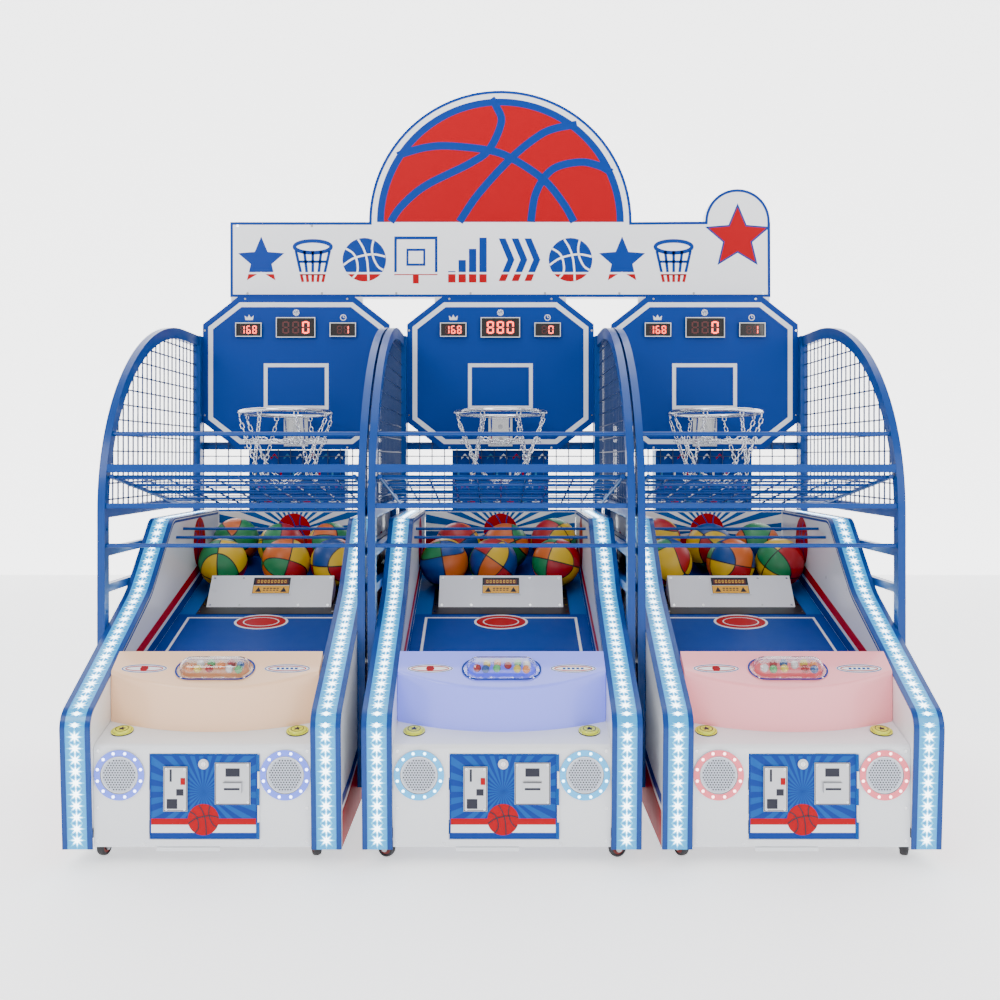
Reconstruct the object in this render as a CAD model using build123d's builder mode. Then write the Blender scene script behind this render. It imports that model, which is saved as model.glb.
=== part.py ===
from build123d import *
from math import atan2, cos, degrees, radians, sin, tan
import os

# Three-lane basketball shooting machine. Millimetres, +Z up, the players stand on the -Y side.
# Every lane (bay) is the same, so each piece is drawn once for the middle bay.
# Depths are measured from the front plane towards the rear, heights from the floor.

# ---- driving dimensions -------------------------------------------------------------
PITCH = 820.0                      # bay centre to bay centre
BAYS = {"left": -PITCH, "middle": 0.0, "right": PITCH}
FRONT = -776.3                     # Y of the front plane
CABINET_BOTTOM = 48.0
SIDE_OUT, SIDE_IN = 382.0, 299.0   # half widths over and between the side boxes
HALF_LANE = 298.0                  # half width of what fits between the side boxes
REAR = 1420.0                      # depth where the side boxes end

# outline of a side box, from its front foot to its rear top corner (depth, height)
SIDE_CORNERS = [(0, 48), (-25, 416), (530, 690), (780, 912), (REAR, 912)]
SIDE_RADII = [60, 250, 70]
SIDE_TURNS = [1, -1, 1]            # 1 where the outline turns inwards, -1 where it turns outwards
TRIM, LENS_PROUD, LENS_DEEP = 5.0, 1.0, 4.0
LENS_IN, LENS_OUT = 313.0, 368.0   # half widths of the lit strip's two edges

# front cabinet and its sloping shelf
SHELF_CORNERS = [(28, 52), (6, 52), (6, 331), (175, 373)]
SHELF_SLOPE = atan2(373 - 331, 175 - 6)
WALL = 4.0
DOOR_CENTRE, DOOR_Z, DOOR_WIDTH, DOOR_HEIGHT = 3.5, 192.0, 295.0, 232.0
DOOR_FACE = 4.5                    # depth of the door's outer face
HINGE_X, HINGE_DEPTH, HINGE_R = 154.0, 2.5, 3.0
LOCK_X, LOCK_Z = 3.5, 281.0
SPEAKER_X, SPEAKER_Z, RING_R = 227.0, 251.0, 69.0
BUTTON_X, BUTTON_DEPTH, BUTTON_R = 246.0, 86.0, 25.0

# sloping console with the clear bubble
HOOD_REAR, HOOD_TOP, HOOD_RISE = 219.0, 553.0, 0.585
HOOD_CENTRE_FRONT, HOOD_SIDE_FRONT = 82.0, 145.0
BUBBLE_DEPTH = 150.0

# playing deck, and the wedge gate that holds the balls back
DECK_SLOPE = atan2(0.272, 1)
DECK_THICK = 10.0
GATE_DEPTH, GATE_HEIGHT = 906.0, 591.2   # where the gate's front edge meets the deck
PIVOT = (8.0, -16.0)               # gate axis: along the deck, and below its surface
GATE_R, GATE_SHELL, GATE_HALF = 138.5, 2.5, 219.5
GATE_SLOPE = radians(34.6)         # of the raised flap, measured from the deck
WELL_HALF, WELL_FRONT, WELL_REAR, WELL_DEEP = 222.0, -2.0, 148.0, 106.0
BALL_R = 89.0

# cage
CAGE_IN, CAGE_OUT = 383.0, 406.0   # half widths of the arched side frames
POST_DEPTH, ARCH_TUBE = 340.0, 40.0
ARCH_CENTRE, ARCH_A, ARCH_B = (1212.0, 955.0), 872.0, 650.0
REAR_POST, REAR_POST_DEPTH = 1424.0, 50.0
REAR_FACE = REAR_POST + REAR_POST_DEPTH
BOLTS, LINK_HOLES = [(360.0, 250.0), (360.0, 500.0)], [(360.0, 650.0), (360.0, 900.0)]
BACK_RAILS = (895.0, 1167.0)       # heights of the two rails behind the rear mesh
RAIL_Z = 952.0
MESH, WIRE = 50.0, 4.0
TUBE_WALL = 2.0
FIT = 0.2                          # gap at each tube end, where its weld would be

# backboard, hoop and sign
BOARD_FACE, BOARD_THICK = 1462.0, 12.0
BOARD_HALF, BOARD_LOW, BOARD_HIGH = 375.0, 1152.0, 1765.0
BOARD_CUT_X, BOARD_CUT_Z = 141.0, 110.0
HOOP_DEPTH, HOOP_Z, HOOP_R, HOOP_TUBE = 1240.0, 1291.0, 175.0, 8.0
HOOP_TILT = radians(2)             # the ring leans up a little towards the players
SIGN_FACE, SIGN_DEEP = 1484.0, 60.0
SIGN_LOW, SIGN_HIGH, SIGN_HALF = 1767.0, 2070.0, 1090.0
SIGN_DOME_R, SIGN_TAB, SIGN_TAB_R = 530.0, (957.0, 2072.0), 131.0

# castors
CASTOR_X, CASTOR_FRONT, CASTOR_REAR = 305.0, 78.0, 1330.0
WHEEL_R, WHEEL_HALF, TRAIL = 25.0, 11.0, 20.0
CASTOR_TURNS = [-15, 20, 65, -70, 30, -25]   # how the six front castors happen to point
FRAME_LOW, FRAME_TUBE = 76.0, 30.0


# ---- planes and small helpers ---------------------------------------------------------
def side_plane(x):
    """Local (depth, height); extrudes towards +X."""
    return Plane(origin=(x, FRONT, 0), x_dir=(0, 1, 0), z_dir=(1, 0, 0))


def front_plane(depth):
    """Local (across, height); extrudes towards the players."""
    return Plane(origin=(0, FRONT + depth, 0), x_dir=(1, 0, 0), z_dir=(0, -1, 0))


def level_plane(height):
    """Local (across, depth); extrudes upwards."""
    return Plane(origin=(0, FRONT, height), x_dir=(1, 0, 0), z_dir=(0, 0, 1))


def deck_point(along, above, x=0.0):
    """A point from the gate's front edge: along the deck and square to it."""
    y = GATE_DEPTH + along * cos(DECK_SLOPE) - above * sin(DECK_SLOPE)
    z = GATE_HEIGHT + along * sin(DECK_SLOPE) + above * cos(DECK_SLOPE)
    return (x, FRONT + y, z)


def deck_plane(above):
    """Local (across, along the deck); extrudes away from the deck."""
    return Plane(
        origin=deck_point(0, above), x_dir=(1, 0, 0), z_dir=(0, -sin(DECK_SLOPE), cos(DECK_SLOPE))
    )


def deck_side_plane(x):
    """Local (along the deck, away from it); extrudes towards +X."""
    return Plane(
        origin=deck_point(0, 0, x), x_dir=(0, cos(DECK_SLOPE), sin(DECK_SLOPE)), z_dir=(1, 0, 0)
    )


def deck_height(depth):
    return GATE_HEIGHT + (depth - GATE_DEPTH) * tan(DECK_SLOPE)


def shelf_height(depth):
    return 331 + (depth - 6) * tan(SHELF_SLOPE)


def hood_height(depth):
    return HOOD_TOP - HOOD_RISE * (HOOD_REAR - depth)


def shelf_plane(x, depth):
    return Plane(
        origin=(x, FRONT + depth, shelf_height(depth)),
        x_dir=(1, 0, 0),
        z_dir=(0, -sin(SHELF_SLOPE), cos(SHELF_SLOPE)),
    )


def hood_plane(above=0.0):
    lean = atan2(HOOD_RISE, 1)
    return Plane(
        origin=(
            0,
            FRONT + BUBBLE_DEPTH - above * sin(lean),
            hood_height(BUBBLE_DEPTH) + above * cos(lean),
        ),
        x_dir=(1, 0, 0),
        z_dir=(0, -sin(lean), cos(lean)),
    )


def block(x0, x1, d0, d1, z0, z1, mode=Mode.ADD):
    """A plain block between two widths, two depths and two heights."""
    with BuildSketch(level_plane(z0)) as foot:
        with Locations(((x0 + x1) / 2, (d0 + d1) / 2)):
            Rectangle(x1 - x0, d1 - d0)
    extrude(foot.sketch, amount=z1 - z0, mode=mode)


def ring_section(plane, width, height):
    """The section of a square tube."""
    with BuildSketch(plane) as section:
        Rectangle(width, height)
        Rectangle(width - 2 * TUBE_WALL, height - 2 * TUBE_WALL, mode=Mode.SUBTRACT)
    return section.sketch


def tube_across(x0, x1, depth, height, deep, tall):
    plane = Plane(origin=(x0, FRONT + depth, height), x_dir=(0, 1, 0), z_dir=(1, 0, 0))
    extrude(ring_section(plane, deep, tall), amount=x1 - x0)


def tube_back(x, d0, d1, height, wide, tall):
    plane = Plane(origin=(x, FRONT + d1, height), x_dir=(1, 0, 0), z_dir=(0, -1, 0))
    extrude(ring_section(plane, wide, tall), amount=d1 - d0)


def tube_up(x, depth, z0, z1, wide, deep):
    plane = Plane(origin=(x, FRONT + depth, z0), x_dir=(1, 0, 0), z_dir=(0, 0, 1))
    extrude(ring_section(plane, wide, deep), amount=z1 - z0)


def rod_across(x0, x1, depth, height, radius):
    with BuildSketch(side_plane(x0)) as section:
        with Locations((depth, height)):
            Circle(radius)
    extrude(section.sketch, amount=x1 - x0)


def disc_on(plane, spots, radius, amount, mode=Mode.ADD):
    """Round discs on a plane, at local spots."""
    with BuildSketch(plane) as discs:
        with Locations(*spots):
            Circle(radius)
    extrude(discs.sketch, amount=amount, mode=mode)


def save(piece, name):
    piece.label = name
    export_step(piece, f"parts/{name}.step")


def in_every_bay(piece):
    """The same piece as separate solids, one set for each bay."""
    with BuildPart() as group:
        with Locations(*[(x, 0, 0) for x in BAYS.values()]):
            add(piece)
    return group.part


def inset_outline(corners, radii, turns, inset):
    """Corners and radii of an outline moved inwards, to the right of its travel."""
    points = [Vector(*corner) for corner in corners]
    runs = [(b - a).normalized() for a, b in zip(points, points[1:])]
    inwards = [Vector(run.Y, -run.X) for run in runs]
    moved = [points[0] + inwards[0] * inset]
    for corner, before, after in zip(points[1:-1], inwards, inwards[1:]):
        middle = (before + after).normalized()
        moved.append(corner + middle * (inset / middle.dot(before)))
    moved.append(points[-1] + inwards[-1] * inset)
    return moved, [radius - turn * inset for radius, turn in zip(radii, turns)]


def edge_band(x0, x1, outline, outer, inner):
    """A strip that follows an outline, between two insets from it."""
    with BuildSketch(side_plane(x0)) as band:
        with BuildLine():
            outer_points, outer_radii = inset_outline(*outline, outer)
            inner_points, inner_radii = inset_outline(*outline, inner)
            top = FilletPolyline(*outer_points, radius=outer_radii)
            under = FilletPolyline(*inner_points, radius=inner_radii)
            Line(top @ 0, under @ 0)
            Line(top @ 1, under @ 1)
        make_face()
    extrude(band.sketch, amount=x1 - x0)


SIDE_OUTLINE = (SIDE_CORNERS, SIDE_RADII, SIDE_TURNS)
SHELF_OUTLINE = (SHELF_CORNERS, [6, 15], [1, 1])


# ---- side boxes -------------------------------------------------------------------------
def side_panel(x0, x1, bottom):
    """A board with the side outline, inside its edge trim."""
    points, radii = inset_outline(*SIDE_OUTLINE, TRIM)
    with BuildSketch(side_plane(x0)) as board:
        with BuildLine():
            edge = FilletPolyline(*points, radius=radii)
            Polyline(edge @ 1, (REAR, bottom), (points[0].X, bottom), edge @ 0)
        make_face()
    extrude(board.sketch, amount=x1 - x0)


with BuildPart() as panels:
    side_panel(370, SIDE_OUT, CABINET_BOTTOM)
    side_panel(-SIDE_OUT, -370, CABINET_BOTTOM)
    for x0 in (SIDE_IN, -SIDE_IN - 10):
        side_panel(x0, x0 + 10, CABINET_BOTTOM)
        block(x0, x0 + 10, 0, REAR, 0, FRAME_LOW + FRAME_TUBE, mode=Mode.SUBTRACT)
    disc_on(side_plane(-390), BOLTS, 4.3, 30, mode=Mode.SUBTRACT)
    disc_on(side_plane(360), BOLTS, 4.3, 30, mode=Mode.SUBTRACT)
save(in_every_bay(panels.part), "side_panels")

with BuildPart() as lenses:
    edge_band(LENS_IN, LENS_OUT, SIDE_OUTLINE, LENS_PROUD, LENS_DEEP)
    edge_band(-LENS_OUT, -LENS_IN, SIDE_OUTLINE, LENS_PROUD, LENS_DEEP)
save(in_every_bay(lenses.part), "light_strip_lenses")

with BuildPart() as trims:
    for x0, x1 in ((LENS_OUT, SIDE_OUT), (SIDE_IN, LENS_IN)):
        edge_band(x0, x1, SIDE_OUTLINE, 0, TRIM)
        edge_band(-x1, -x0, SIDE_OUTLINE, 0, TRIM)
save(in_every_bay(trims.part), "light_strip_trims")


# ---- underframe, with the rigid rear castors' forks and the front castors' plates ----------
def rigid_fork(x):
    """Plate, two cheeks and an axle, one solid."""
    block(x - 28, x + 28, CASTOR_REAR - 28, CASTOR_REAR + 28, FRAME_LOW - 3, FRAME_LOW)
    for side in (-1, 1):
        cheek = x + side * 15
        block(cheek - 1.5, cheek + 1.5, CASTOR_REAR - 14, CASTOR_REAR + 14, 16, FRAME_LOW - 3)
    rod_across(x - 15, x + 15, CASTOR_REAR, WHEEL_R, 3)


with BuildPart() as frame:
    middle = FRAME_LOW + FRAME_TUBE / 2
    for side in (-1, 1):
        tube_back(side * CASTOR_X, 14, REAR - 10, middle, FRAME_TUBE, FRAME_TUBE)
        rigid_fork(side * CASTOR_X)
    for depth in (60, 480, 920, 1380):
        edge = CASTOR_X - FRAME_TUBE / 2 - FIT
        tube_across(-edge, edge, depth, middle, FRAME_TUBE, FRAME_TUBE)
    for depth in (420, 760, 1280):
        low = deck_height(depth - 12) - DECK_THICK / cos(DECK_SLOPE)
        tube_across(-HALF_LANE, HALF_LANE, depth, low - 12.5, 24, 25)
    plate_spots = [(side * CASTOR_X, CASTOR_FRONT) for side in (-1, 1)]
    with BuildSketch(level_plane(FRAME_LOW - 3)) as plates:
        with Locations(*plate_spots):
            Rectangle(56, 56)
            Circle(6, mode=Mode.SUBTRACT)
    extrude(plates.sketch, amount=3)
save(in_every_bay(frame.part), "base_frames")


# ---- front cabinet --------------------------------------------------------------------------
DOOR_LOW, DOOR_HIGH = DOOR_Z - DOOR_HEIGHT / 2, DOOR_Z + DOOR_HEIGHT / 2
KNUCKLE = DOOR_HEIGHT / 5


def knuckles(numbers, x0, x1, deep, bore):
    """Some of the knuckles of the door's long hinge, with the flange that carries them."""
    for number in numbers:
        z0 = DOOR_LOW + number * KNUCKLE + 0.5
        with BuildSketch(level_plane(z0)) as knuckle:
            with Locations((HINGE_X, HINGE_DEPTH)):
                Circle(HINGE_R)
            with Locations(((x0 + x1) / 2, HINGE_DEPTH + deep / 2)):
                Rectangle(x1 - x0, deep)
            if bore:
                with Locations((HINGE_X, HINGE_DEPTH)):
                    Circle(bore, mode=Mode.SUBTRACT)
        extrude(knuckle.sketch, amount=KNUCKLE - 1)


with BuildPart() as cabinet:
    edge_band(-HALF_LANE, HALF_LANE, SHELF_OUTLINE, 0, WALL)
    block(-126, 47, 6, 12, 42, 52)
    block(DOOR_CENTRE - 149.5, DOOR_CENTRE + 149.5, 0, 30, 74, 310, mode=Mode.SUBTRACT)
    speaker_spots = [(side * SPEAKER_X, SPEAKER_Z) for side in (-1, 1)]
    disc_on(front_plane(20), speaker_spots, 48, 20, mode=Mode.SUBTRACT)
    for side in (-1, 1):
        hole = shelf_plane(side * BUTTON_X, BUTTON_DEPTH)
        disc_on(hole, [(0, 0)], 26.6, -20, mode=Mode.SUBTRACT)
    knuckles((1, 3), HINGE_X, 157.8, 3.6, 0)
    with BuildSketch(level_plane(DOOR_LOW + 1)) as pin:
        with Locations((HINGE_X, HINGE_DEPTH)):
            Circle(1.5)
    extrude(pin.sketch, amount=DOOR_HEIGHT - 2)
save(in_every_bay(cabinet.part), "front_cabinets")

with BuildPart() as speakers:
    # grille, translucent light ring and the driver behind the wall
    disc_on(front_plane(5), speaker_spots, 50, 2)
    with BuildSketch(front_plane(6)) as light_ring:
        with Locations(*speaker_spots):
            Circle(RING_R)
            Circle(52, mode=Mode.SUBTRACT)
    extrude(light_ring.sketch, amount=5)
    for x, z in speaker_spots:
        with BuildSketch(side_plane(x)) as driver:
            with Locations((0, z)):
                Polygon((6, 0), (6, 46), (10, 46), (40, 22), (40, 28), (54, 28), (54, 0), align=None)
        revolve(driver.sketch, axis=Axis((x, FRONT, z), (0, 1, 0)), revolution_arc=360)
save(in_every_bay(speakers.part), "speakers")

with BuildPart() as bezels:
    for side in (-1, 1):
        spot = shelf_plane(side * BUTTON_X, BUTTON_DEPTH)
        disc_on(spot, [(0, 0)], 31, 3)
        disc_on(spot, [(0, 0)], 26.4, -31)
        disc_on(spot.offset(3), [(0, 0)], BUTTON_R + 0.3, -31, mode=Mode.SUBTRACT)
        disc_on(spot, [(0, 0)], 5.3, -40, mode=Mode.SUBTRACT)
save(in_every_bay(bezels.part), "button_bezels")

for bay, bay_x in BAYS.items():
    for side, side_name in ((-1, "a"), (1, "b")):
        spot = shelf_plane(side * BUTTON_X, BUTTON_DEPTH)
        with BuildPart() as start_button:
            disc_on(spot.offset(-12), [(0, 0)], BUTTON_R, 21)
            fillet(start_button.edges().sort_by(Axis.Z)[-1], radius=6)
            disc_on(spot.offset(-12), [(0, 0)], 5, -28)
        save(start_button.part.moved(Location((bay_x, 0, 0))), f"start_button_{bay}_{side_name}")

with BuildPart() as cash_box:
    block(-120, 20, 25, 140, FRAME_LOW + FRAME_TUBE + 2, 156)
    block(-118, 18, 27, 138, FRAME_LOW + FRAME_TUBE + 4, 160, mode=Mode.SUBTRACT)
save(in_every_bay(cash_box.part), "cash_boxes")

# ---- coin door -------------------------------------------------------------------------------
DOOR_LEFT = DOOR_CENTRE - DOOR_WIDTH / 2
DOOR_RIGHT = DOOR_CENTRE + DOOR_WIDTH / 2
COIN_X, COIN_LOW, COIN_HIGH = (-105.0, -40.0), 153.0, 275.0
REJECT = (-58.0, -46.0, 226.0, 244.0)
TICKET_X, TICKET_LOW, TICKET_HIGH = (35.0, 132.0), 170.5, 285.5


with BuildPart() as door:
    block(DOOR_LEFT, DOOR_RIGHT, DOOR_FACE, DOOR_FACE + 3, DOOR_LOW, DOOR_HIGH)
    block(DOOR_LEFT + 2, DOOR_RIGHT - 2, 7.5, 17.5, DOOR_LOW + 2, DOOR_HIGH - 2)
    block(DOOR_LEFT + 4, DOOR_RIGHT - 4, 7.5, 18, DOOR_LOW + 4, DOOR_HIGH - 4, mode=Mode.SUBTRACT)
    block(-101, -44, 0, 12, 160, 270, mode=Mode.SUBTRACT)
    block(43, 124, 0, 12, 178, 278, mode=Mode.SUBTRACT)
    disc_on(front_plane(12), [(LOCK_X, LOCK_Z)], 9.6, 12, mode=Mode.SUBTRACT)
    knuckles((0, 2, 4), 148, HINGE_X, 3, 1.6)

with BuildPart() as fittings:
    # coin acceptor: face plate and body, with the coin slot, the return cup and the button's shaft
    block(*COIN_X, -1.5, DOOR_FACE, COIN_LOW, COIN_HIGH)
    block(-100, -45, DOOR_FACE, 65, 161, 269)
    block(-86.5, -83.5, -2, 40, 236, 266, mode=Mode.SUBTRACT)
    block(-95, -68, -2, 14, 160.5, 186, mode=Mode.SUBTRACT)
    x0, x1, z0, z1 = REJECT
    block(x0 - 0.3, x1 + 0.3, -2, 20, z0 - 0.3, z1 + 0.3, mode=Mode.SUBTRACT)
    # ticket dispenser: face plate with its spout, and the feeder behind it
    block(*TICKET_X, 1.5, DOOR_FACE, TICKET_LOW, TICKET_HIGH)
    block(58, 109, -9, 1.5, 205, 232)
    block(44, 123, DOOR_FACE, 95, 179, 277)
    block(62, 105, -10, 60, 214, 218, mode=Mode.SUBTRACT)
    # lock barrel
    disc_on(front_plane(DOOR_FACE), [(LOCK_X, LOCK_Z)], 14, 3)
    disc_on(front_plane(20), [(LOCK_X, LOCK_Z)], 9.5, 20 - DOOR_FACE)
    disc_on(front_plane(21), [(LOCK_X, LOCK_Z)], 6, 21, mode=Mode.SUBTRACT)

with BuildPart() as reject:
    block(x0, x1, -4.5, 8, z0, z1)
    chamfer(reject.faces().sort_by(Axis.Y)[0].edges(), 1)

with BuildPart() as cam:
    disc_on(front_plane(22), [(LOCK_X, LOCK_Z)], 5.9, 21)
    with BuildSketch(front_plane(23.5)) as blade:
        with Locations((LOCK_X + 14, LOCK_Z)):
            SlotOverall(44, 14)
    extrude(blade.sketch, amount=2.5)
    block(LOCK_X - 0.6, LOCK_X + 0.6, 0, 4, LOCK_Z - 4, LOCK_Z + 4, mode=Mode.SUBTRACT)

for bay, bay_x in BAYS.items():
    for piece, name in (
        (door, "coin_door"),
        (fittings, "coin_ticket_set"),
        (reject, "reject_button"),
        (cam, "lock_cam"),
    ):
        save(piece.part.moved(Location((bay_x, 0, 0))), f"{name}_{bay}")

# ---- console and bubble ------------------------------------------------------------------------
def hood_block(skin):
    """The console's outer form, or the form of its inside for a skin thickness."""
    half, back, drop = HALF_LANE - 1 - skin, HOOD_REAR - skin, skin * 1.16
    with BuildPart() as form:
        with BuildSketch(level_plane(330)):
            with BuildLine():
                nose = ThreePointArc(
                    (-half, HOOD_SIDE_FRONT + skin), (0, HOOD_CENTRE_FRONT + skin), (half, HOOD_SIDE_FRONT + skin)
                )
                Polyline(nose @ 1, (half, back), (-half, back), nose @ 0)
            make_face()
        extrude(amount=300)
        low = shelf_height(60) + 0.2 - skin * 5
        low_back = shelf_height(back) + 0.2 - skin * 5
        with BuildSketch(side_plane(-400)):
            Polygon(
                (60, low), (back, low_back), (back, hood_height(back) - drop), (60, hood_height(60) - drop), align=None
            )
        extrude(amount=800, mode=Mode.INTERSECT)
    return form


def on_hood_top(edge):
    middle = edge.center()
    return abs(middle.Z - hood_height(middle.Y - FRONT)) < 0.5


outside = hood_block(0)
inside = hood_block(WALL)
with BuildPart() as hood:
    add(outside.part)
    top_front = hood.edges().filter_by(on_hood_top).sort_by(Axis.Y)[0]
    fillet(top_front, radius=9)
    add(inside.part, mode=Mode.SUBTRACT)
    with BuildSketch(hood_plane(10)) as bubble_hole:
        SlotOverall(197, 63)
    extrude(bubble_hole.sketch, amount=-40, mode=Mode.SUBTRACT)
save(in_every_bay(hood.part), "control_hoods")


def bubble_block(skin):
    with BuildPart() as form:
        with BuildSketch(hood_plane()):
            SlotOverall(200 - 2 * skin, 66 - 2 * skin)
        extrude(amount=34 - skin)
        outwards = Axis(hood_plane().origin, hood_plane().z_dir)
        fillet(form.faces().sort_by(outwards)[-1].edges(), radius=24 - skin)
    return form


bubble_out = bubble_block(0)
bubble_in = bubble_block(3)
with BuildPart() as bubble:
    with BuildSketch(hood_plane()):
        SlotOverall(224, 88)
    extrude(amount=2.5)
    add(bubble_out.part)
    add(bubble_in.part, mode=Mode.SUBTRACT)
save(in_every_bay(bubble.part), "hood_windows")

# ---- deck, gate and balls --------------------------------------------------------------------------
with BuildPart() as deck:
    start, end = HOOD_REAR + 3, REAR - 12
    drop = DECK_THICK / cos(DECK_SLOPE)
    with BuildSketch(side_plane(-HALF_LANE)) as board:
        Polygon(
            (start, deck_height(start)),
            (start, deck_height(start) - drop),
            (end, deck_height(end) - drop),
            (end, deck_height(end)),
            align=None,
        )
    extrude(board.sketch, amount=2 * HALF_LANE)
    with BuildSketch(deck_plane(5)) as well_hole:
        with Locations((0, (WELL_FRONT + WELL_REAR) / 2)):
            Rectangle(2 * WELL_HALF + 8, WELL_REAR - WELL_FRONT + 8)
    extrude(well_hole.sketch, amount=-30, mode=Mode.SUBTRACT)
save(in_every_bay(deck.part), "playfield_decks")

with BuildPart() as back_wall:
    block(-HALF_LANE, HALF_LANE, REAR - 10, REAR - 2, 690, 905)
save(in_every_bay(back_wall.part), "back_walls")

with BuildPart() as gate_frame:
    along = (WELL_FRONT + WELL_REAR) / 2
    length = WELL_REAR - WELL_FRONT
    with BuildSketch(deck_plane(0)) as flange:
        with Locations((0, 51)):
            Rectangle(480, 228)
    extrude(flange.sketch, amount=2)
    with BuildSketch(deck_plane(0)) as well:
        with Locations((0, along)):
            Rectangle(2 * WELL_HALF + 6, length + 6)
    extrude(well.sketch, amount=-WELL_DEEP)
    with BuildSketch(deck_plane(5)) as inside_well:
        with Locations((0, along)):
            Rectangle(2 * WELL_HALF, length)
    extrude(inside_well.sketch, amount=-WELL_DEEP - 10, mode=Mode.SUBTRACT)
    disc_on(deck_side_plane(-300), [PIVOT], 4.3, 600, mode=Mode.SUBTRACT)
save(in_every_bay(gate_frame.part), "gate_frames")

with BuildPart() as gate_motor:
    with BuildSketch(deck_side_plane(WELL_HALF + 3)) as gearbox:
        with Locations((PIVOT[0], PIVOT[1] - 19)):
            Rectangle(44, 46)
        with Locations(PIVOT):
            Circle(4.3, mode=Mode.SUBTRACT)
    extrude(gearbox.sketch, amount=18)
    disc_on(deck_side_plane(WELL_HALF + 21), [(PIVOT[0], PIVOT[1] - 24)], 16, 48)
save(in_every_bay(gate_motor.part), "gate_motors")

FLAP = (cos(GATE_SLOPE), sin(GATE_SLOPE))
FLAP_OUT = (-FLAP[1], FLAP[0])


def flap_section(plane, radius, inset, low, low_front):
    """Sector of the wedge gate, between its sloping plate and the round back plate."""
    start = (-FLAP_OUT[0] * inset, -FLAP_OUT[1] * inset)
    reach = (start[0] + 200 * FLAP[0], start[1] + 200 * FLAP[1])
    with BuildSketch(plane) as sector:
        with Locations(PIVOT):
            Circle(radius)
        Polygon(start, reach, (200, low), low_front, align=None, mode=Mode.INTERSECT)
    return sector.sketch


def flap_face_plane(up, across=0.0):
    """On the flap's sloping plate, a distance up it; extrudes away from it."""
    s, n = up * FLAP[0], up * FLAP[1]
    tilt = DECK_SLOPE + GATE_SLOPE
    return Plane(
        origin=deck_point(s, n, across), x_dir=(1, 0, 0), z_dir=(0, -sin(tilt), cos(tilt))
    )


with BuildPart() as gate:
    extrude(flap_section(deck_side_plane(-GATE_HALF), GATE_R, 0, -21, (8, -26)), amount=2 * GATE_HALF)
    hollow = flap_section(
        deck_side_plane(GATE_SHELL - GATE_HALF), GATE_R - GATE_SHELL, GATE_SHELL, -60, (14, -60)
    )
    extrude(hollow, amount=2 * (GATE_HALF - GATE_SHELL), mode=Mode.SUBTRACT)
    disc_on(deck_side_plane(-GATE_HALF), [PIVOT], 7, 2 * GATE_HALF)
    disc_on(deck_side_plane(-230), [PIVOT], 4, 476)
    with BuildSketch(flap_face_plane(90)) as gate_display:
        Rectangle(142, 76)
    extrude(gate_display.sketch, amount=3)
for bay, bay_x in BAYS.items():
    save(gate.part.moved(Location((bay_x, 0, 0))), f"ball_gate_{bay}")

# ball centres in one bay: (across, distance up the deck from the gate), all lying on the deck
BALLS = [(-204, 211.5), (28, 211.5), (208.5, 212), (-207, 450), (-20, 387), (165, 394)]
MIRRORED = {"left": 1, "middle": -1, "right": 1}

with BuildPart() as balls:
    for bay, bay_x in BAYS.items():
        for across, along in BALLS:
            centre = deck_point(along, BALL_R + 0.4, bay_x + MIRRORED[bay] * across)
            with Locations(centre):
                Sphere(BALL_R)
save(balls.part, "basketballs")


# ---- castors ------------------------------------------------------------------------------------
def fork_block():
    """A swivelling fork about the origin, its wheel trailing towards +Y."""
    with BuildPart() as fork:
        with BuildSketch(Plane(origin=(0, 0, 69.5))) as crown:
            Circle(23)
        extrude(crown.sketch, amount=3)
        with BuildSketch(Plane(origin=(0, 0, 72))) as kingpin:
            Circle(5.7)
        extrude(kingpin.sketch, amount=3.8)
        for side in (-1, 1):
            plane = Plane(origin=(side * 13.5 - 1.5, 0, 0), x_dir=(0, 1, 0), z_dir=(1, 0, 0))
            with BuildSketch(plane) as cheek:
                with BuildLine():
                    Polyline((11, 25), (-14, 70), (15, 70), (29, 25))
                    ThreePointArc((29, 25), (TRAIL, 16), (11, 25))
                make_face()
            extrude(cheek.sketch, amount=3)
        with BuildSketch(Plane(origin=(-13, 0, 0), x_dir=(0, 1, 0), z_dir=(1, 0, 0))) as axle:
            with Locations((TRAIL, WHEEL_R)):
                Circle(3)
        extrude(axle.sketch, amount=26)
    return fork.part


def wheel_block():
    """A wheel on the X axis, with a crowned tyre and dished sides."""
    with BuildPart() as wheel:
        with BuildSketch(Plane(origin=(0, 0, 0), x_dir=(1, 0, 0), z_dir=(0, -1, 0))) as half:
            with BuildLine():
                tread = ThreePointArc((-9, 23.4), (0, WHEEL_R), (9, 23.4))
                Polyline(
                    tread @ 1, (WHEEL_HALF, 21), (WHEEL_HALF, 18), (8, 17), (8, 9), (WHEEL_HALF, 8),
                    (WHEEL_HALF, 3.2), (-WHEEL_HALF, 3.2), (-WHEEL_HALF, 8), (-8, 9), (-8, 17),
                    (-WHEEL_HALF, 18), (-WHEEL_HALF, 21), tread @ 0
                )
            make_face()
        revolve(half.sketch, axis=Axis.X, revolution_arc=360)
    return wheel.part


fork, wheel = fork_block(), wheel_block()
front_spots = [bay_x + side * CASTOR_X for bay_x in BAYS.values() for side in (-1, 1)]
for number, (x, turn) in enumerate(zip(front_spots, CASTOR_TURNS), start=1):
    swivel = Location((x, FRONT + CASTOR_FRONT, 0)) * Location((0, 0, 0), (0, 0, turn))
    save(fork.moved(swivel), f"caster_fork_{number}")
    save(wheel.moved(swivel * Location((0, TRAIL, WHEEL_R))), f"caster_wheel_{number}")

with BuildPart() as rear_wheels:
    with Locations(*[(x, FRONT + CASTOR_REAR, WHEEL_R) for x in front_spots]):
        add(wheel)
save(rear_wheels.part, "rear_wheels")


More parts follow.
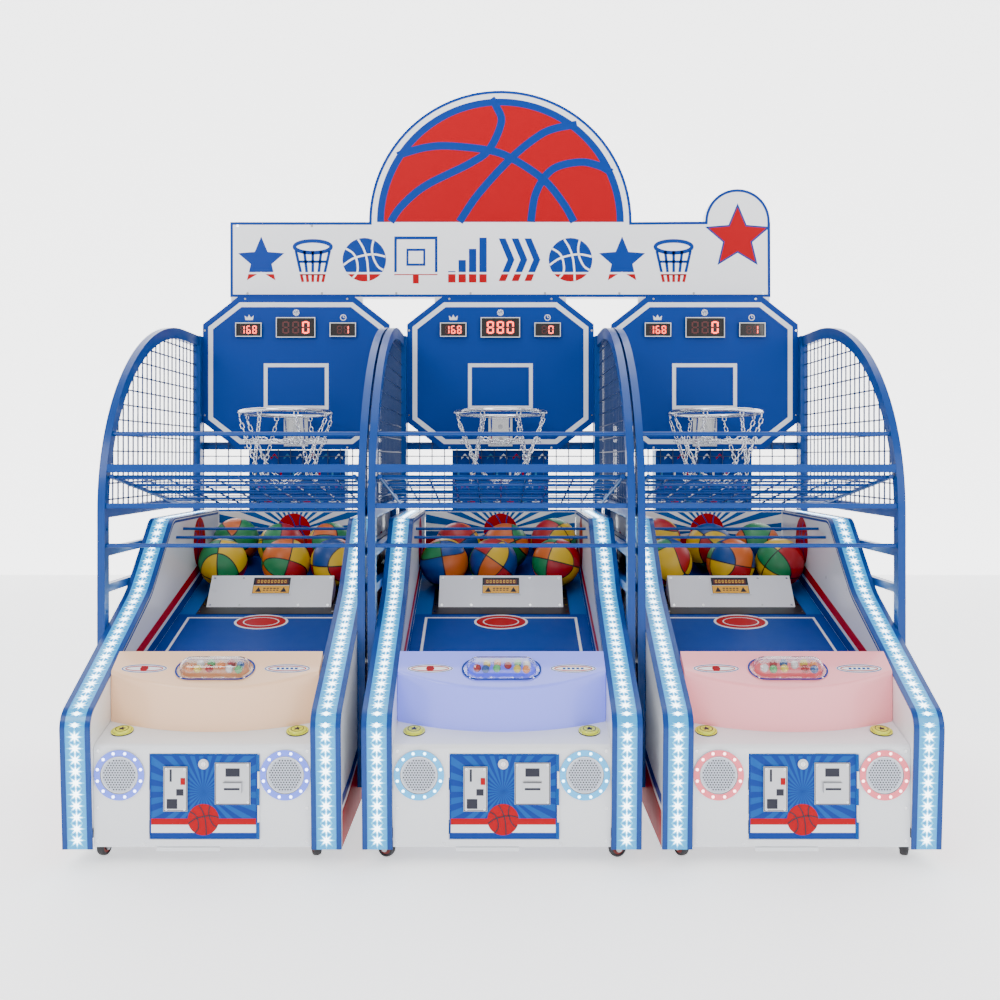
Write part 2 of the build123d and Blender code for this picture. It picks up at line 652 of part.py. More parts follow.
# ---- cage -----------------------------------------------------------------------------------------
def arch_edge(inset, start_z, end_depth):
    """The arch's line at an inset from its outside: up the post, round the curve, back."""
    x0, z1 = POST_DEPTH + inset, ARCH_CENTRE[1] + ARCH_B - inset
    Line((x0, start_z), (x0, ARCH_CENTRE[1]))
    EllipticalCenterArc(ARCH_CENTRE, ARCH_A - inset, ARCH_B - inset, start_angle=90, arc_size=90)
    Line((ARCH_CENTRE[0], z1), (end_depth, z1))


def arch_band(x, width, start_z, end_depth, outer, inner, mode):
    with BuildSketch(side_plane(x)) as band:
        with BuildLine():
            arch_edge(outer, start_z, end_depth)
            arch_edge(inner, start_z, end_depth)
            Line((POST_DEPTH + outer, start_z), (POST_DEPTH + inner, start_z))
            top = ARCH_CENTRE[1] + ARCH_B
            Line((end_depth, top - outer), (end_depth, top - inner))
        make_face()
    extrude(band.sketch, amount=width, mode=mode)


def arch_tube(x):
    """One bent side tube, open at both ends, bored for its bolts."""
    width = CAGE_OUT - CAGE_IN
    with BuildPart() as arch:
        arch_band(x, width, 120, REAR_POST - FIT, 0, ARCH_TUBE, Mode.ADD)
        inner = ARCH_TUBE - TUBE_WALL
        arch_band(x + TUBE_WALL, width - 2 * TUBE_WALL, 100, REAR_POST + 20, TUBE_WALL, inner, Mode.SUBTRACT)
        disc_on(side_plane(x - 1), BOLTS, 4.3, width + 2, mode=Mode.SUBTRACT)
        disc_on(side_plane(x - 1), LINK_HOLES, 4.5, width + 2, mode=Mode.SUBTRACT)
    return arch.part


with BuildPart() as cage:
    middle = (CAGE_IN + CAGE_OUT) / 2
    for side in (-1, 1):
        add(arch_tube(CAGE_IN if side > 0 else -CAGE_OUT))
        tube_up(side * 390, REAR_POST + REAR_POST_DEPTH / 2, 50, 1605, 30, REAR_POST_DEPTH)
        for height, tall in ((RAIL_Z, 32), (831, 25), (720, 25)):
            tube_back(side * middle, POST_DEPTH + ARCH_TUBE + FIT, REAR_POST - FIT, height, 23, tall)
    reach = CAGE_IN - FIT
    tube_across(-reach, reach, 371, 1087, 25, 25)
    tube_across(-reach, reach, 355, 973, 15, 15)
    for depth, height, radius in ((418, 1193, 7), (355, 852, 6.3)):
        rod_across(-reach, reach, depth, height, radius)
    for depth, height in ((901, 869), (813, 845)):
        rod_across(-SIDE_IN, SIDE_IN, depth, height, 5)
    for height in BACK_RAILS:
        tube_across(-405, 405, REAR_FACE + WIRE + 15, height, 30, 30)
save(in_every_bay(cage.part), "cage_frames")


def lattice_lines(low, high, first, pitch=MESH):
    return [first + pitch * i for i in range(40) if low < first + pitch * i < high]


def side_mesh(x):
    """Welded mesh that fills one arch above its top rail."""
    low = RAIL_Z + 16
    with BuildPart() as plate:
        with BuildSketch(side_plane(x)) as wires:
            for depth in lattice_lines(POST_DEPTH + ARCH_TUBE, REAR_POST, 397):
                with Locations((depth, (low + 1600) / 2)):
                    Rectangle(WIRE, 1600 - low)
            for height in lattice_lines(low, 1600, low + 22):
                with Locations(((340 + REAR_POST) / 2, height)):
                    Rectangle(REAR_POST - 340, WIRE)
        extrude(wires.sketch, amount=WIRE)
        with BuildSketch(side_plane(x)) as region:
            with BuildLine():
                arch_edge(ARCH_TUBE, 900, REAR_POST)
                Polyline((POST_DEPTH + ARCH_TUBE, 900), (REAR_POST, 900), (REAR_POST, 1565))
            make_face()
        extrude(region.sketch, amount=WIRE, mode=Mode.INTERSECT)
    return plate.part


with BuildPart() as meshes:
    for side in (-1, 1):
        add(side_mesh(side * middle - WIRE / 2))
    with BuildSketch(front_plane(REAR_FACE + WIRE)) as rear_mesh:
        for x in lattice_lines(-399, 399, -375):
            with Locations((x, 1092)):
                Rectangle(WIRE, 364)
        for height in lattice_lines(910, 1280, 925):
            with Locations((0, height)):
                Rectangle(800, WIRE)
    extrude(rear_mesh.sketch, amount=WIRE)
save(in_every_bay(meshes.part), "cage_meshes")

# ---- sloping wire ramp that brings the balls back -----------------------------------------------------
RAMP_FRONT, RAMP_REAR, RAMP_HALF, RAMP_MESH = (366.0, 1062.0), (1135.0, 945.0), 371.0, 75.0
RAMP_LENGTH = ((RAMP_REAR[0] - RAMP_FRONT[0]) ** 2 + (RAMP_REAR[1] - RAMP_FRONT[1]) ** 2) ** 0.5
RAMP_DROP = (RAMP_FRONT[1] - RAMP_REAR[1]) / RAMP_LENGTH
RAMP_RUN = (RAMP_REAR[0] - RAMP_FRONT[0]) / RAMP_LENGTH


def ramp_plane(above):
    """Local (across, distance down the ramp); extrudes away from its upper side."""
    return Plane(
        origin=(0, FRONT + RAMP_FRONT[0] + above * RAMP_DROP, RAMP_FRONT[1] + above * RAMP_RUN),
        x_dir=(1, 0, 0),
        z_dir=(0, RAMP_DROP, RAMP_RUN),
    )


with BuildPart() as ramp:
    along_ramp = Plane(
        origin=(0, FRONT + RAMP_FRONT[0], RAMP_FRONT[1]), x_dir=(1, 0, 0), z_dir=(0, RAMP_RUN, -RAMP_DROP)
    )
    disc_on(along_ramp, [(-RAMP_HALF, 0), (RAMP_HALF, 0)], 7, RAMP_LENGTH)
    for share in (0.03, 0.27, 0.51, 0.75, 0.97):
        depth = RAMP_FRONT[0] + share * (RAMP_REAR[0] - RAMP_FRONT[0])
        height = RAMP_FRONT[1] + share * (RAMP_REAR[1] - RAMP_FRONT[1])
        rod_across(-CAGE_IN, CAGE_IN, depth, height, 5)
    with BuildSketch(ramp_plane(2)) as net:
        for x in lattice_lines(-360, 360, -300, RAMP_MESH):
            with Locations((x, RAMP_LENGTH / 2)):
                Rectangle(WIRE, RAMP_LENGTH - 24)
        for down in lattice_lines(10, RAMP_LENGTH - 10, 14, RAMP_MESH):
            with Locations((0, down)):
                Rectangle(2 * RAMP_HALF, WIRE)
    extrude(net.sketch, amount=WIRE)
save(in_every_bay(ramp.part), "catch_ramps")

# ---- backboard, displays, hoop and chain net ------------------------------------------------------------
CUT = (BOARD_HALF - BOARD_CUT_X, BOARD_LOW + BOARD_CUT_Z, BOARD_HIGH - BOARD_CUT_Z)
with BuildPart() as board:
    with BuildSketch(front_plane(BOARD_FACE + BOARD_THICK)) as octagon:
        Polygon(
            (-CUT[0], BOARD_LOW), (CUT[0], BOARD_LOW), (BOARD_HALF, CUT[1]), (BOARD_HALF, CUT[2]),
            (CUT[0], BOARD_HIGH), (-CUT[0], BOARD_HIGH), (-BOARD_HALF, CUT[2]), (-BOARD_HALF, CUT[1]),
            align=None
        )
    extrude(octagon.sketch, amount=BOARD_THICK)
    disc_on(front_plane(1480), [(0, 1243), (0, 1192)], 5.2, 30, mode=Mode.SUBTRACT)
save(in_every_bay(board.part), "backboards")

with BuildPart() as displays:
    for x, z, width, height in ((0, 1641, 157, 81), (-189, 1632, 105, 56.5), (189, 1632, 105, 56.5)):
        face = BOARD_FACE - 14
        block(x - width / 2, x + width / 2, face, BOARD_FACE, z - height / 2, z + height / 2)
        block(
            x - width / 2 + 7, x + width / 2 - 7, face - 1, face + 3, z - height / 2 + 7, z + height / 2 - 7,
            mode=Mode.SUBTRACT
        )
save(in_every_bay(displays.part), "score_displays")

HOOK_ANGLES = [22.5 + 45 * i for i in range(8)]


def round_hoop(angle, radius, height):
    """A point about the hoop's axis; angle 0 is to the players' right."""
    return (
        radius * cos(radians(angle)),
        FRONT + HOOP_DEPTH + radius * sin(radians(angle)),
        height,
    )


def ring_low(angle):
    """Height of the ring's centreline at an angle, with its tilt."""
    return HOOP_Z - HOOP_R * sin(radians(angle)) * tan(HOOP_TILT)


HOOK_R, HOOK_WIRE = 8.0, 2.0
with BuildPart() as hoop:
    tilted = Plane(
        origin=(0, FRONT + HOOP_DEPTH, HOOP_Z), x_dir=(1, 0, 0), z_dir=(0, sin(HOOP_TILT), cos(HOOP_TILT))
    )
    with Locations(tilted):
        Torus(HOOP_R, HOOP_TUBE)
    block(-48.5, 48.5, BOARD_FACE - 6, BOARD_FACE, 1165, 1283)
    block(-40, 40, HOOP_DEPTH + HOOP_R - 3, BOARD_FACE - 3, 1277, 1283)
    for side in (-1, 1):
        with BuildSketch(side_plane(side * 36 - 3)) as gusset:
            Polygon(
                (BOARD_FACE - 5, 1180), (BOARD_FACE - 5, 1280), (HOOP_DEPTH + HOOP_R + 2, 1280), align=None
            )
        extrude(gusset.sketch, amount=6)
    for angle in HOOK_ANGLES:
        x, y, z = round_hoop(angle, HOOP_R, ring_low(angle) - HOOP_TUBE - HOOK_R + 3)
        outward = (cos(radians(angle)), sin(radians(angle)), 0)
        with Locations(Plane(origin=(x, y, z), x_dir=(0, 0, 1), z_dir=outward)):
            Torus(HOOK_R, HOOK_WIRE)
    disc_on(front_plane(1480), [(0, 1243), (0, 1192)], 5.2, 30, mode=Mode.SUBTRACT)
save(in_every_bay(hoop.part), "hoop_rims")

CHAIN = 3.0


def strand(*points):
    """A length of chain as a round cord through two points, or three along an arc."""
    with BuildPart() as cord:
        with BuildLine() as path:
            Line(*points) if len(points) == 2 else ThreePointArc(*points)
        line = path.line
        with BuildSketch(Plane(origin=line @ 0, z_dir=line % 0)):
            Circle(CHAIN)
        sweep(path=line)
    return cord.part


def knot(point):
    with Locations(point):
        Sphere(CHAIN * 1.6)


with BuildPart() as net:
    feet = {angle: round_hoop(angle, 138, 1100) for angle in (45, 135, 225, 315)}
    below = HOOP_TUBE + 2 * HOOK_R - 3 + HOOK_WIRE + CHAIN * 1.6 + 0.5
    tops = {a: round_hoop(a, HOOP_R, ring_low(a) - below) for a in HOOK_ANGLES}
    for angle, top in tops.items():
        foot = feet[45 + 90 * int(angle // 90)]
        add(strand(top, foot))
        knot(top)
    for angle, foot in feet.items():
        knot(foot)
        add(strand(foot, round_hoop(angle + 45, 112, 1020), feet[(angle + 90) % 360]))
        left, right = Vector(*tops[angle + 22.5]), Vector(*tops[(angle + 67.5) % 360])
        start = left + (Vector(*foot) - left) * 0.42
        end = right + (Vector(*feet[(angle + 90) % 360]) - right) * 0.42
        knot(tuple(start))
        knot(tuple(end))
        add(strand(tuple(start), round_hoop(angle + 45, 150, 1178), tuple(end)))
save(in_every_bay(net.part), "chain_nets")


# ---- sign over the three lanes ---------------------------------------------------------------------------
def sign_outline(inset):
    """Banner, half disc and round tab, moved in by an inset."""
    with BuildSketch(front_plane(SIGN_FACE + SIGN_DEEP)) as outline:
        with Locations((0, (SIGN_LOW + SIGN_HIGH) / 2)):
            Rectangle(2 * (SIGN_HALF - inset), SIGN_HIGH - SIGN_LOW - 2 * inset)
        with Locations((0, SIGN_HIGH)):
            Circle(SIGN_DOME_R - inset)
        with Locations(SIGN_TAB):
            Circle(SIGN_TAB_R - inset)
        with Locations((0, SIGN_LOW + inset + 500)):
            Rectangle(3000, 1000, mode=Mode.INTERSECT)
    return outline.sketch


with BuildPart() as sign:
    extrude(sign_outline(0), amount=SIGN_DEEP)
    extrude(sign_outline(3), amount=SIGN_DEEP - 4, mode=Mode.SUBTRACT)
save(sign.part, "marquee_sign")

with BuildPart() as sign_frame:
    stand = REAR_FACE + WIRE + 15
    for bay_x in BAYS.values():
        for side in (-1, 1):
            tube_up(bay_x + side * 250, stand, BACK_RAILS[1] + 15, SIGN_LOW, 30, 30)
    tube_across(-1080, 1080, SIGN_FACE + 30, SIGN_LOW + 3 + 15, 30, 30)
    tube_across(-1080, 1080, SIGN_FACE + 30, SIGN_HIGH - 20, 30, 30)
    for x in (-1000, -560, -200, 200, 560, 1000):
        tube_up(x, SIGN_FACE + 30, SIGN_LOW + 33, SIGN_HIGH - 35, 30, 30)
    for x in (-200, 200):
        tube_up(x, SIGN_FACE + 30, SIGN_HIGH - 5, 2520, 30, 30)
save(sign_frame.part, "marquee_frame")

# ---- control boxes on the rear rails ----------------------------------------------------------------------
with BuildPart() as control_box:
    block(-194, 194, 1482, 1575, 910, 1150)
    block(-192, 192, 1484, 1573, 912, 1148, mode=Mode.SUBTRACT)
    with BuildSketch(front_plane(1580)) as vents:
        for row in range(6):
            with Locations((70, 960 + row * 12), (-110, 1020 + row * 12)):
                SlotOverall(70, 5)
    extrude(vents.sketch, amount=10, mode=Mode.SUBTRACT)
    block(-170, -122, 1545, 1575, 930, 960)
    block(-163, -129, 1560, 1580, 935, 955, mode=Mode.SUBTRACT)
save(in_every_bay(control_box.part), "control_boxes")

# ---- bolts: hoop bracket, and cage to side boxes ---------------------------------------------------------------
with BuildPart() as bolts:
    bolt_spots = [(0, 1243), (0, 1192)]
    disc_on(front_plane(BOARD_FACE - 6), bolt_spots, 10, 6)
    disc_on(front_plane(BOARD_FACE + 12), bolt_spots, 5, 20)
    for side in (-1, 1):
        disc_on(side_plane(side * (CAGE_OUT + 1.5) - 1.5), BOLTS, 8, 3)
        disc_on(side_plane(side * 387 - 19), BOLTS, 4, 38)
        disc_on(side_plane(side * 366.5 - 3), BOLTS, 8, 6)
save(in_every_bay(bolts.part), "fasteners")
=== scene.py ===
from math import atan, atan2, cos, hypot, pi, radians, sin, tan

import bmesh
import bpy
from mathutils import Matrix, Vector


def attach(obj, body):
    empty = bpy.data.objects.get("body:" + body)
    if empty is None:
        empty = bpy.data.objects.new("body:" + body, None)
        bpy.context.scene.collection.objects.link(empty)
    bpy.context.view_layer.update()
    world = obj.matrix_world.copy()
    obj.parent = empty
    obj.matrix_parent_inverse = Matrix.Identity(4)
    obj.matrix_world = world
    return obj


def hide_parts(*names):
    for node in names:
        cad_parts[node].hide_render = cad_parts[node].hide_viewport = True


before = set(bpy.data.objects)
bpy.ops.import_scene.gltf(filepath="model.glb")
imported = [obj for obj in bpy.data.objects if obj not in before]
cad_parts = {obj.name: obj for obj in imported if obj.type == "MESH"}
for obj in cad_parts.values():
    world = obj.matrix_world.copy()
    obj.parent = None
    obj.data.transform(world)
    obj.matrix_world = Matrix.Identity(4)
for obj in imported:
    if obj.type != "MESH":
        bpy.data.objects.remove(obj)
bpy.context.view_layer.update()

# Lengths below are in millimetres and are turned into metres where a mesh is made.
# A depth is measured back from the cabinets' front, a height up from the floor.
MM = 0.001
FRONT = -776.3                                            # Y of the cabinets' front
BAYS = {"left": -820.0, "middle": 0.0, "right": 820.0}    # X of each lane's middle
DECK_RISE, HOOD_RISE = 0.272, 0.585                       # height gained per length of depth
DECK, HOOD, SHELF = atan(DECK_RISE), atan(HOOD_RISE), atan2(42, 169)
GATE_SLOPE = radians(34.6)                                # of a raised gate against the deck
SIDE_OUT, SIDE_IN, SIDE_MID = 382, 299, 340.5             # a side box's walls and middle, from the lane's
SPEAKER_X, SPEAKER_Z = 227, 251
BUTTON_X = 246
BACK_WALL, BOARD_FACE, SIGN_FACE = 1410, 1462, 1484       # depths
DISPLAY_Z = 1632
BALL_R, BALL_REST = 0.089, 89.4                           # radius in metres, centre above the deck
CASTOR_X, CASTOR_DEPTH, CASTOR_TRAIL, CASTOR_R = 305, 78, 20, 25
LIFT = 0.5                                                # how far a print stands off its surface


# ---- materials -------------------------------------------------------------------------------
def material(name, color, rough=0.4, metal=0.0, glow=0.0, glow_color=None, coat=0.0, clear=0.0,
             wear=0.0, shine=0.5):
    """A principled surface, with a little uneven gloss where wear is given."""
    m = bpy.data.materials.new(name)
    m.use_nodes = True
    nodes, links = m.node_tree.nodes, m.node_tree.links
    s = nodes["Principled BSDF"]
    s.inputs["Base Color"].default_value = (*color, 1)
    s.inputs["Roughness"].default_value = rough
    s.inputs["Metallic"].default_value = metal
    s.inputs["Coat Weight"].default_value = coat
    s.inputs["Specular IOR Level"].default_value = shine
    s.inputs["Transmission Weight"].default_value = clear
    if glow:
        s.inputs["Emission Color"].default_value = (*(glow_color or color), 1)
        s.inputs["Emission Strength"].default_value = glow
    if wear:
        place = nodes.new("ShaderNodeTexCoord")
        noise = nodes.new("ShaderNodeTexNoise")
        noise.inputs["Scale"].default_value = 18.0
        noise.inputs["Detail"].default_value = 6.0
        spread = nodes.new("ShaderNodeMapRange")
        spread.inputs["To Min"].default_value = max(rough - wear, 0.02)
        spread.inputs["To Max"].default_value = min(rough + wear, 1.0)
        links.new(place.outputs["Object"], noise.inputs["Vector"])
        links.new(noise.outputs["Fac"], spread.inputs["Value"])
        links.new(spread.outputs["Result"], s.inputs["Roughness"])
    return m


BLUE, RED, WHITE = (0.0, 0.036, 0.26), (0.42, 0.0, 0.006), (0.80, 0.82, 0.85)
M = {
    "white": material("white print", WHITE, 0.3, coat=0.3, wear=0.06),
    "sign white": material("sign white", (0.88, 0.89, 0.92), 0.35, glow=0.12, glow_color=(1, 1, 1)),
    "blue": material("blue print", BLUE, 0.42, wear=0.05, shine=0.2),
    "light blue": material("light blue print", (0.0, 0.085, 0.36), 0.42, shine=0.2),
    "red": material("red print", RED, 0.42, wear=0.05, shine=0.15),
    "cage": material("blue enamel", (0.0, 0.045, 0.24), 0.32, coat=0.1, wear=0.06, shine=0.3),
    "mesh": material("dark blue wire", (0.012, 0.035, 0.13), 0.45),
    "black": material("black enamel", (0.012, 0.012, 0.014), 0.4, wear=0.08),
    "dark": material("dark moulding and painted slot shade", (0.02, 0.02, 0.024), 0.5, wear=0.08),
    "ink": material("dark ink and painted slot shade", (0.004, 0.005, 0.02), 0.5),
    "steel": material("brushed plate", (0.52, 0.53, 0.55), 0.34, 1.0, wear=0.1),
    "chrome": material("chrome", (0.80, 0.81, 0.83), 0.10, 1.0, wear=0.04),
    "zinc": material("zinc", (0.45, 0.46, 0.48), 0.4, 1.0, wear=0.1),
    "tyre": material("castor tyre", (0.035, 0.033, 0.035), 0.6, wear=0.1),
    "castor red": material("castor core", (0.22, 0.025, 0.02), 0.5),
    "yellow": material("lit yellow cap", (0.62, 0.66, 0.03), 0.25, glow=0.25, coat=0.5),
    "display": material("smoked window", (0.006, 0.003, 0.004), 0.12, coat=0.8),
    "digit": material("red digit", (1, 0.05, 0.03), 0.4, glow=7.0, glow_color=(1, 0.10, 0.06)),
    "digit off": material("unlit digit", (0.09, 0.01, 0.01), 0.4),
    "amber": material("amber ink", (0.85, 0.42, 0.03), 0.4),
    "lens": material("lit lens", (0.02, 0.30, 0.60), 0.25, glow=0.5, glow_color=(0.02, 0.50, 1.0), coat=0.2),
    "led": material("bright lamp", (1, 1, 1), 0.3, glow=7.0, glow_color=(0.85, 0.97, 1.0)),
    "halo": material("lamp halo", (0.10, 0.55, 0.9), 0.3, glow=0.9, glow_color=(0.08, 0.62, 1.0)),
    "facet": material("blue facet", (0.02, 0.28, 0.70), 0.25, glow=0.4, glow_color=(0.02, 0.35, 0.9)),
    "hole": material("grille hole", (0.03, 0.03, 0.04), 0.7),
    "grille": material("grille", (0.50, 0.54, 0.62), 0.4, 0.4),
    "clear": material("clear dome", (1, 1, 1), 0.03, clear=1.0, coat=0.3),
    "green": material("green toy", (0.05, 0.5, 0.12), 0.3, coat=0.5),
    "orange": material("orange toy", (0.9, 0.25, 0.02), 0.3, coat=0.5),
    "rubber yellow": material("yellow toy", (0.85, 0.66, 0.03), 0.3, coat=0.5),
    "teal": material("teal enamel", (0.01, 0.16, 0.36), 0.4),
}


def lit(name, color, rough, glow, glow_color, coat):
    return material(name, color, rough, glow=glow, glow_color=glow_color, coat=coat)


HOODS = {
    "left": lit("warm lit hood", (0.84, 0.54, 0.34), 0.28, 0.25, (1.0, 0.52, 0.25), 0.5),
    "middle": lit("blue lit hood", (0.22, 0.25, 0.85), 0.28, 0.65, (0.14, 0.18, 1.0), 0.4),
    "right": lit("pink lit hood", (0.88, 0.34, 0.38), 0.28, 0.34, (1.0, 0.20, 0.24), 0.5),
}
RINGS = {
    "left": lit("bluish speaker ring", (0.10, 0.16, 0.75), 0.2, 0.9, (0.12, 0.20, 1.0), 0.3),
    "middle": lit("cyan speaker ring", (0.04, 0.38, 0.70), 0.2, 0.8, (0.03, 0.45, 1.0), 0.3),
    "right": lit("pink speaker ring", (0.75, 0.14, 0.18), 0.2, 0.7, (1.0, 0.12, 0.18), 0.3),
}
LAMPS = {
    "left": material("bluish lamp", (1, 1, 1), glow=9, glow_color=(0.55, 0.62, 1.0)),
    "middle": material("cyan lamp", (1, 1, 1), glow=9, glow_color=(0.45, 0.85, 1.0)),
    "right": material("pink lamp", (1, 1, 1), glow=7, glow_color=(1.0, 0.50, 0.50)),
}


def paint(names, key):
    for name in names.split():
        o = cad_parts[name]
        o.data.materials.clear()
        o.data.materials.append(M[key] if isinstance(key, str) else key)


paint("side_panels front_cabinets back_walls", "white")
paint("light_strip_trims cage_frames", "cage")
paint("light_strip_lenses", "lens")
paint("cage_meshes", "mesh")
paint("catch_ramps", "cage")
paint("base_frames gate_frames gate_motors", "black")
paint("playfield_decks", "blue")
paint("backboards", "blue")
paint("score_displays", "display")
paint("hoop_rims chain_nets", "chrome")
paint("fasteners cash_boxes", "zinc")
paint("control_boxes", "teal")
paint("marquee_sign", "sign white")
paint("marquee_frame", "white")
paint("speakers", "grille")
paint("button_bezels", "dark")
paint("rear_wheels", "tyre")
paint("hood_windows", "clear")
for bay in BAYS:
    paint(f"coin_door_{bay}", "light blue")
    paint(f"coin_ticket_set_{bay}", "steel")
    paint(f"lock_cam_{bay}", "chrome")
    paint(f"reject_button_{bay}", "red")
    paint(f"ball_gate_{bay}", "white")
    paint(f"start_button_{bay}_a start_button_{bay}_b", "yellow")
for i in range(1, 7):
    paint(f"caster_fork_{i}", "zinc")
    paint(f"caster_wheel_{i}", "tyre")


# ---- drawing on surfaces ---------------------------------------------------------------------
class Face:
    """A flat place to draw on: an origin and two directions, all in millimetres."""

    def __init__(self, origin, u, v):
        self.o, self.u, self.v = Vector(origin), Vector(u).normalized(), Vector(v).normalized()
        self.n = self.u.cross(self.v)

    def at(self, a, b, h=0.0):
        return (self.o + self.u * a + self.v * b + self.n * h) * MM


def front(x, depth):
    """An upright face that looks at the players; local heights are from the floor."""
    return Face((x, FRONT + depth, 0), (1, 0, 0), (0, 0, 1))


def tilted(x, depth, height, angle):
    """A face that rises away from the players."""
    return Face((x, FRONT + depth, height), (1, 0, 0), (0, cos(angle), sin(angle)))


def sideways(x, facing):
    """A side wall; local (depth * facing, height), seen from the side it faces."""
    return Face((x, FRONT, 0), (0, facing, 0), (0, 0, 1))


def deck_face(x, angle=0.0):
    """The deck about the gate's foot, or the gate at an angle to it."""
    return tilted(x, 906, 591.2, DECK + angle)


def shelf_face(x):
    """The shelf that holds the start buttons."""
    return tilted(x, 6, 331, SHELF)


def hood_face(x):
    """The console's top, about the clear bubble."""
    return tilted(x, 150, 553 - HOOD_RISE * 69, HOOD)


class Sheet:
    """Gathers flat shapes of several materials into one object."""

    def __init__(self, name, body="machine"):
        self.name, self.body = name, body
        self.verts, self.faces, self.index, self.mats = [], [], [], []

    def add(self, face, shapes, mat, h=LIFT, step=0.0):
        """Adds shapes; step lifts each a little over the last, where they cross."""
        mat = M[mat] if isinstance(mat, str) else mat
        if mat not in self.mats:
            self.mats.append(mat)
        for i, shape in enumerate(shapes):
            start = len(self.verts)
            self.verts += [face.at(a, b, h + step * (i % 41)) for a, b in shape]
            area = sum(p[0] * q[1] - q[0] * p[1] for p, q in zip(shape, shape[1:] + shape[:1]))
            ring = range(start, start + len(shape))
            self.faces.append(list(ring) if area > 0 else list(reversed(ring)))
            self.index.append(self.mats.index(mat))

    def done(self):
        return mesh_object(self.name, self.verts, self.faces, self.mats, self.index, self.body)


def mesh_object(name, verts, faces, mats, index=None, body="machine", smooth=False):
    """A piece that rides on a body."""
    mesh = bpy.data.meshes.new(name)
    mesh.from_pydata([tuple(v) for v in verts], [], faces)
    for m in mats:
        mesh.materials.append(m)
    if index:
        mesh.polygons.foreach_set("material_index", index)
    if smooth:
        mesh.polygons.foreach_set("use_smooth", [True] * len(mesh.polygons))
    mesh.update()
    o = place_object(name.replace(" ", "_"), mesh)
    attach(o, body)
    return o


def place_object(name, data, location=None, rotation=None):
    """Links a new object into the scene."""
    o = bpy.data.objects.new(name, data)
    if location is not None:
        o.location = location
    if rotation is not None:
        o.rotation_euler = rotation
    bpy.context.scene.collection.objects.link(o)
    return o


def sphere_mesh(name, radius, around, rings):
    """A smooth ball, its radius in metres."""
    mesh = bpy.data.meshes.new(name)
    work = bmesh.new()
    bmesh.ops.create_uvsphere(work, u_segments=around, v_segments=rings, radius=radius)
    for f in work.faces:
        f.smooth = True
    work.to_mesh(mesh)
    work.free()
    return mesh


def rect(x0, x1, z0, z1):
    return [(x0, z0), (x1, z0), (x1, z1), (x0, z1)]


def disc(x, z, r, n=48, rz=None):
    return [(x + r * cos(2 * pi * i / n), z + (rz or r) * sin(2 * pi * i / n)) for i in range(n)]


def band(points, width, closed=False):
    """Quads along a line of points, the band's width across."""
    count = len(points)
    sides = []
    for i, (x, z) in enumerate(points):
        before = points[i - 1] if i or closed else points[i]
        after = points[(i + 1) % count] if i + 1 < count or closed else points[i]
        dx, dz = after[0] - before[0], after[1] - before[1]
        long = hypot(dx, dz) or 1
        sides.append(((x - dz / long * width / 2, z + dx / long * width / 2),
                      (x + dz / long * width / 2, z - dx / long * width / 2)))
    nexts = sides[1:] + (sides[:1] if closed else [])
    return [[a[0], a[1], b[1], b[0]] for a, b in zip(sides, nexts)]


def frame_band(points, width):
    """A closed mitred border inside a convex polygon."""
    inner = inset(points, width)
    return [[a, b, d, c] for a, b, c, d in
            zip(points, points[1:] + points[:1], inner, inner[1:] + inner[:1])]


def inset(points, width):
    """A convex counterclockwise polygon moved inwards."""
    out = []
    for i, p in enumerate(points):
        a, b = points[i - 1], points[(i + 1) % len(points)]
        u = Vector((p[0] - a[0], p[1] - a[1])).normalized()
        v = Vector((b[0] - p[0], b[1] - p[1])).normalized()
        m = Vector((-u.y - v.y, u.x + v.x)).normalized()
        mitre = m.dot(Vector((-u.y, u.x)))
        out.append((p[0] + m.x * width / mitre, p[1] + m.y * width / mitre))
    return out


def spline(a, b, c, d, t):
    """A value between b and c that also looks at its neighbours a and d."""
    square, cube = 2 * a - 5 * b + 4 * c - d, 3 * b - a - 3 * c + d
    return 0.5 * (2 * b + (c - a) * t + square * t * t + cube * t ** 3)


def smooth_line(points, n=10):
    """A smooth line through points."""
    ends = [points[0]] + points + [points[-1]]
    found = [tuple(spline(*values, k / n) for values in zip(*quad))
             for quad in zip(ends, ends[1:], ends[2:], ends[3:]) for k in range(n)]
    return found + [points[-1]]


SEAMS = [  # on a ball print of radius 1
    [(0.05, 0.98), (0.14, 0.5), (0.12, 0.0), (0.0, -0.5), (-0.15, -0.97)],
    [(-0.98, 0.1), (-0.5, 0.22), (0.0, 0.2), (0.5, 0.08), (0.96, -0.2)],
    [(-0.62, 0.77), (-0.38, 0.45), (-0.34, 0.05), (-0.48, -0.4), (-0.78, -0.61)],
    [(0.70, 0.69), (0.5, 0.35), (0.42, -0.05), (0.48, -0.5), (0.65, -0.74)],
]


def seams(x, z, r, width, turn=0.35):
    """The seams of a ball print."""
    shapes = []
    for stroke in SEAMS:
        line = [(x + r * (a * cos(turn) - b * sin(turn)), z + r * (a * sin(turn) + b * cos(turn)))
                for a, b in smooth_line(stroke, 6)]
        shapes += band(line, width)
    return shapes


def ball_print(sheet, face, x, z, r, seam_mat="ink", h=LIFT, rz=1.0):
    """A red ball with seams, rz times as tall as it is wide."""
    sheet.add(face, [[(a, z + (b - z) * rz) for a, b in disc(x, z, r)]], "red", h)
    lines = [[(a, z + (b - z) * rz) for a, b in q] for q in seams(x, z, r, r * 0.075)]
    sheet.add(face, lines, seam_mat, h + 0.3, 0.012)


def star(x, z, r, points=5, deep=0.45):
    """A star whose inner corners are at deep times its radius."""
    return [(x + (r if i % 2 == 0 else r * deep) * sin(pi * i / points),
             z + (r if i % 2 == 0 else r * deep) * cos(pi * i / points)) for i in range(2 * points)]


SEGMENTS = {"0": "abcdef", "1": "bc", "6": "acdefg", "8": "abcdefg"}


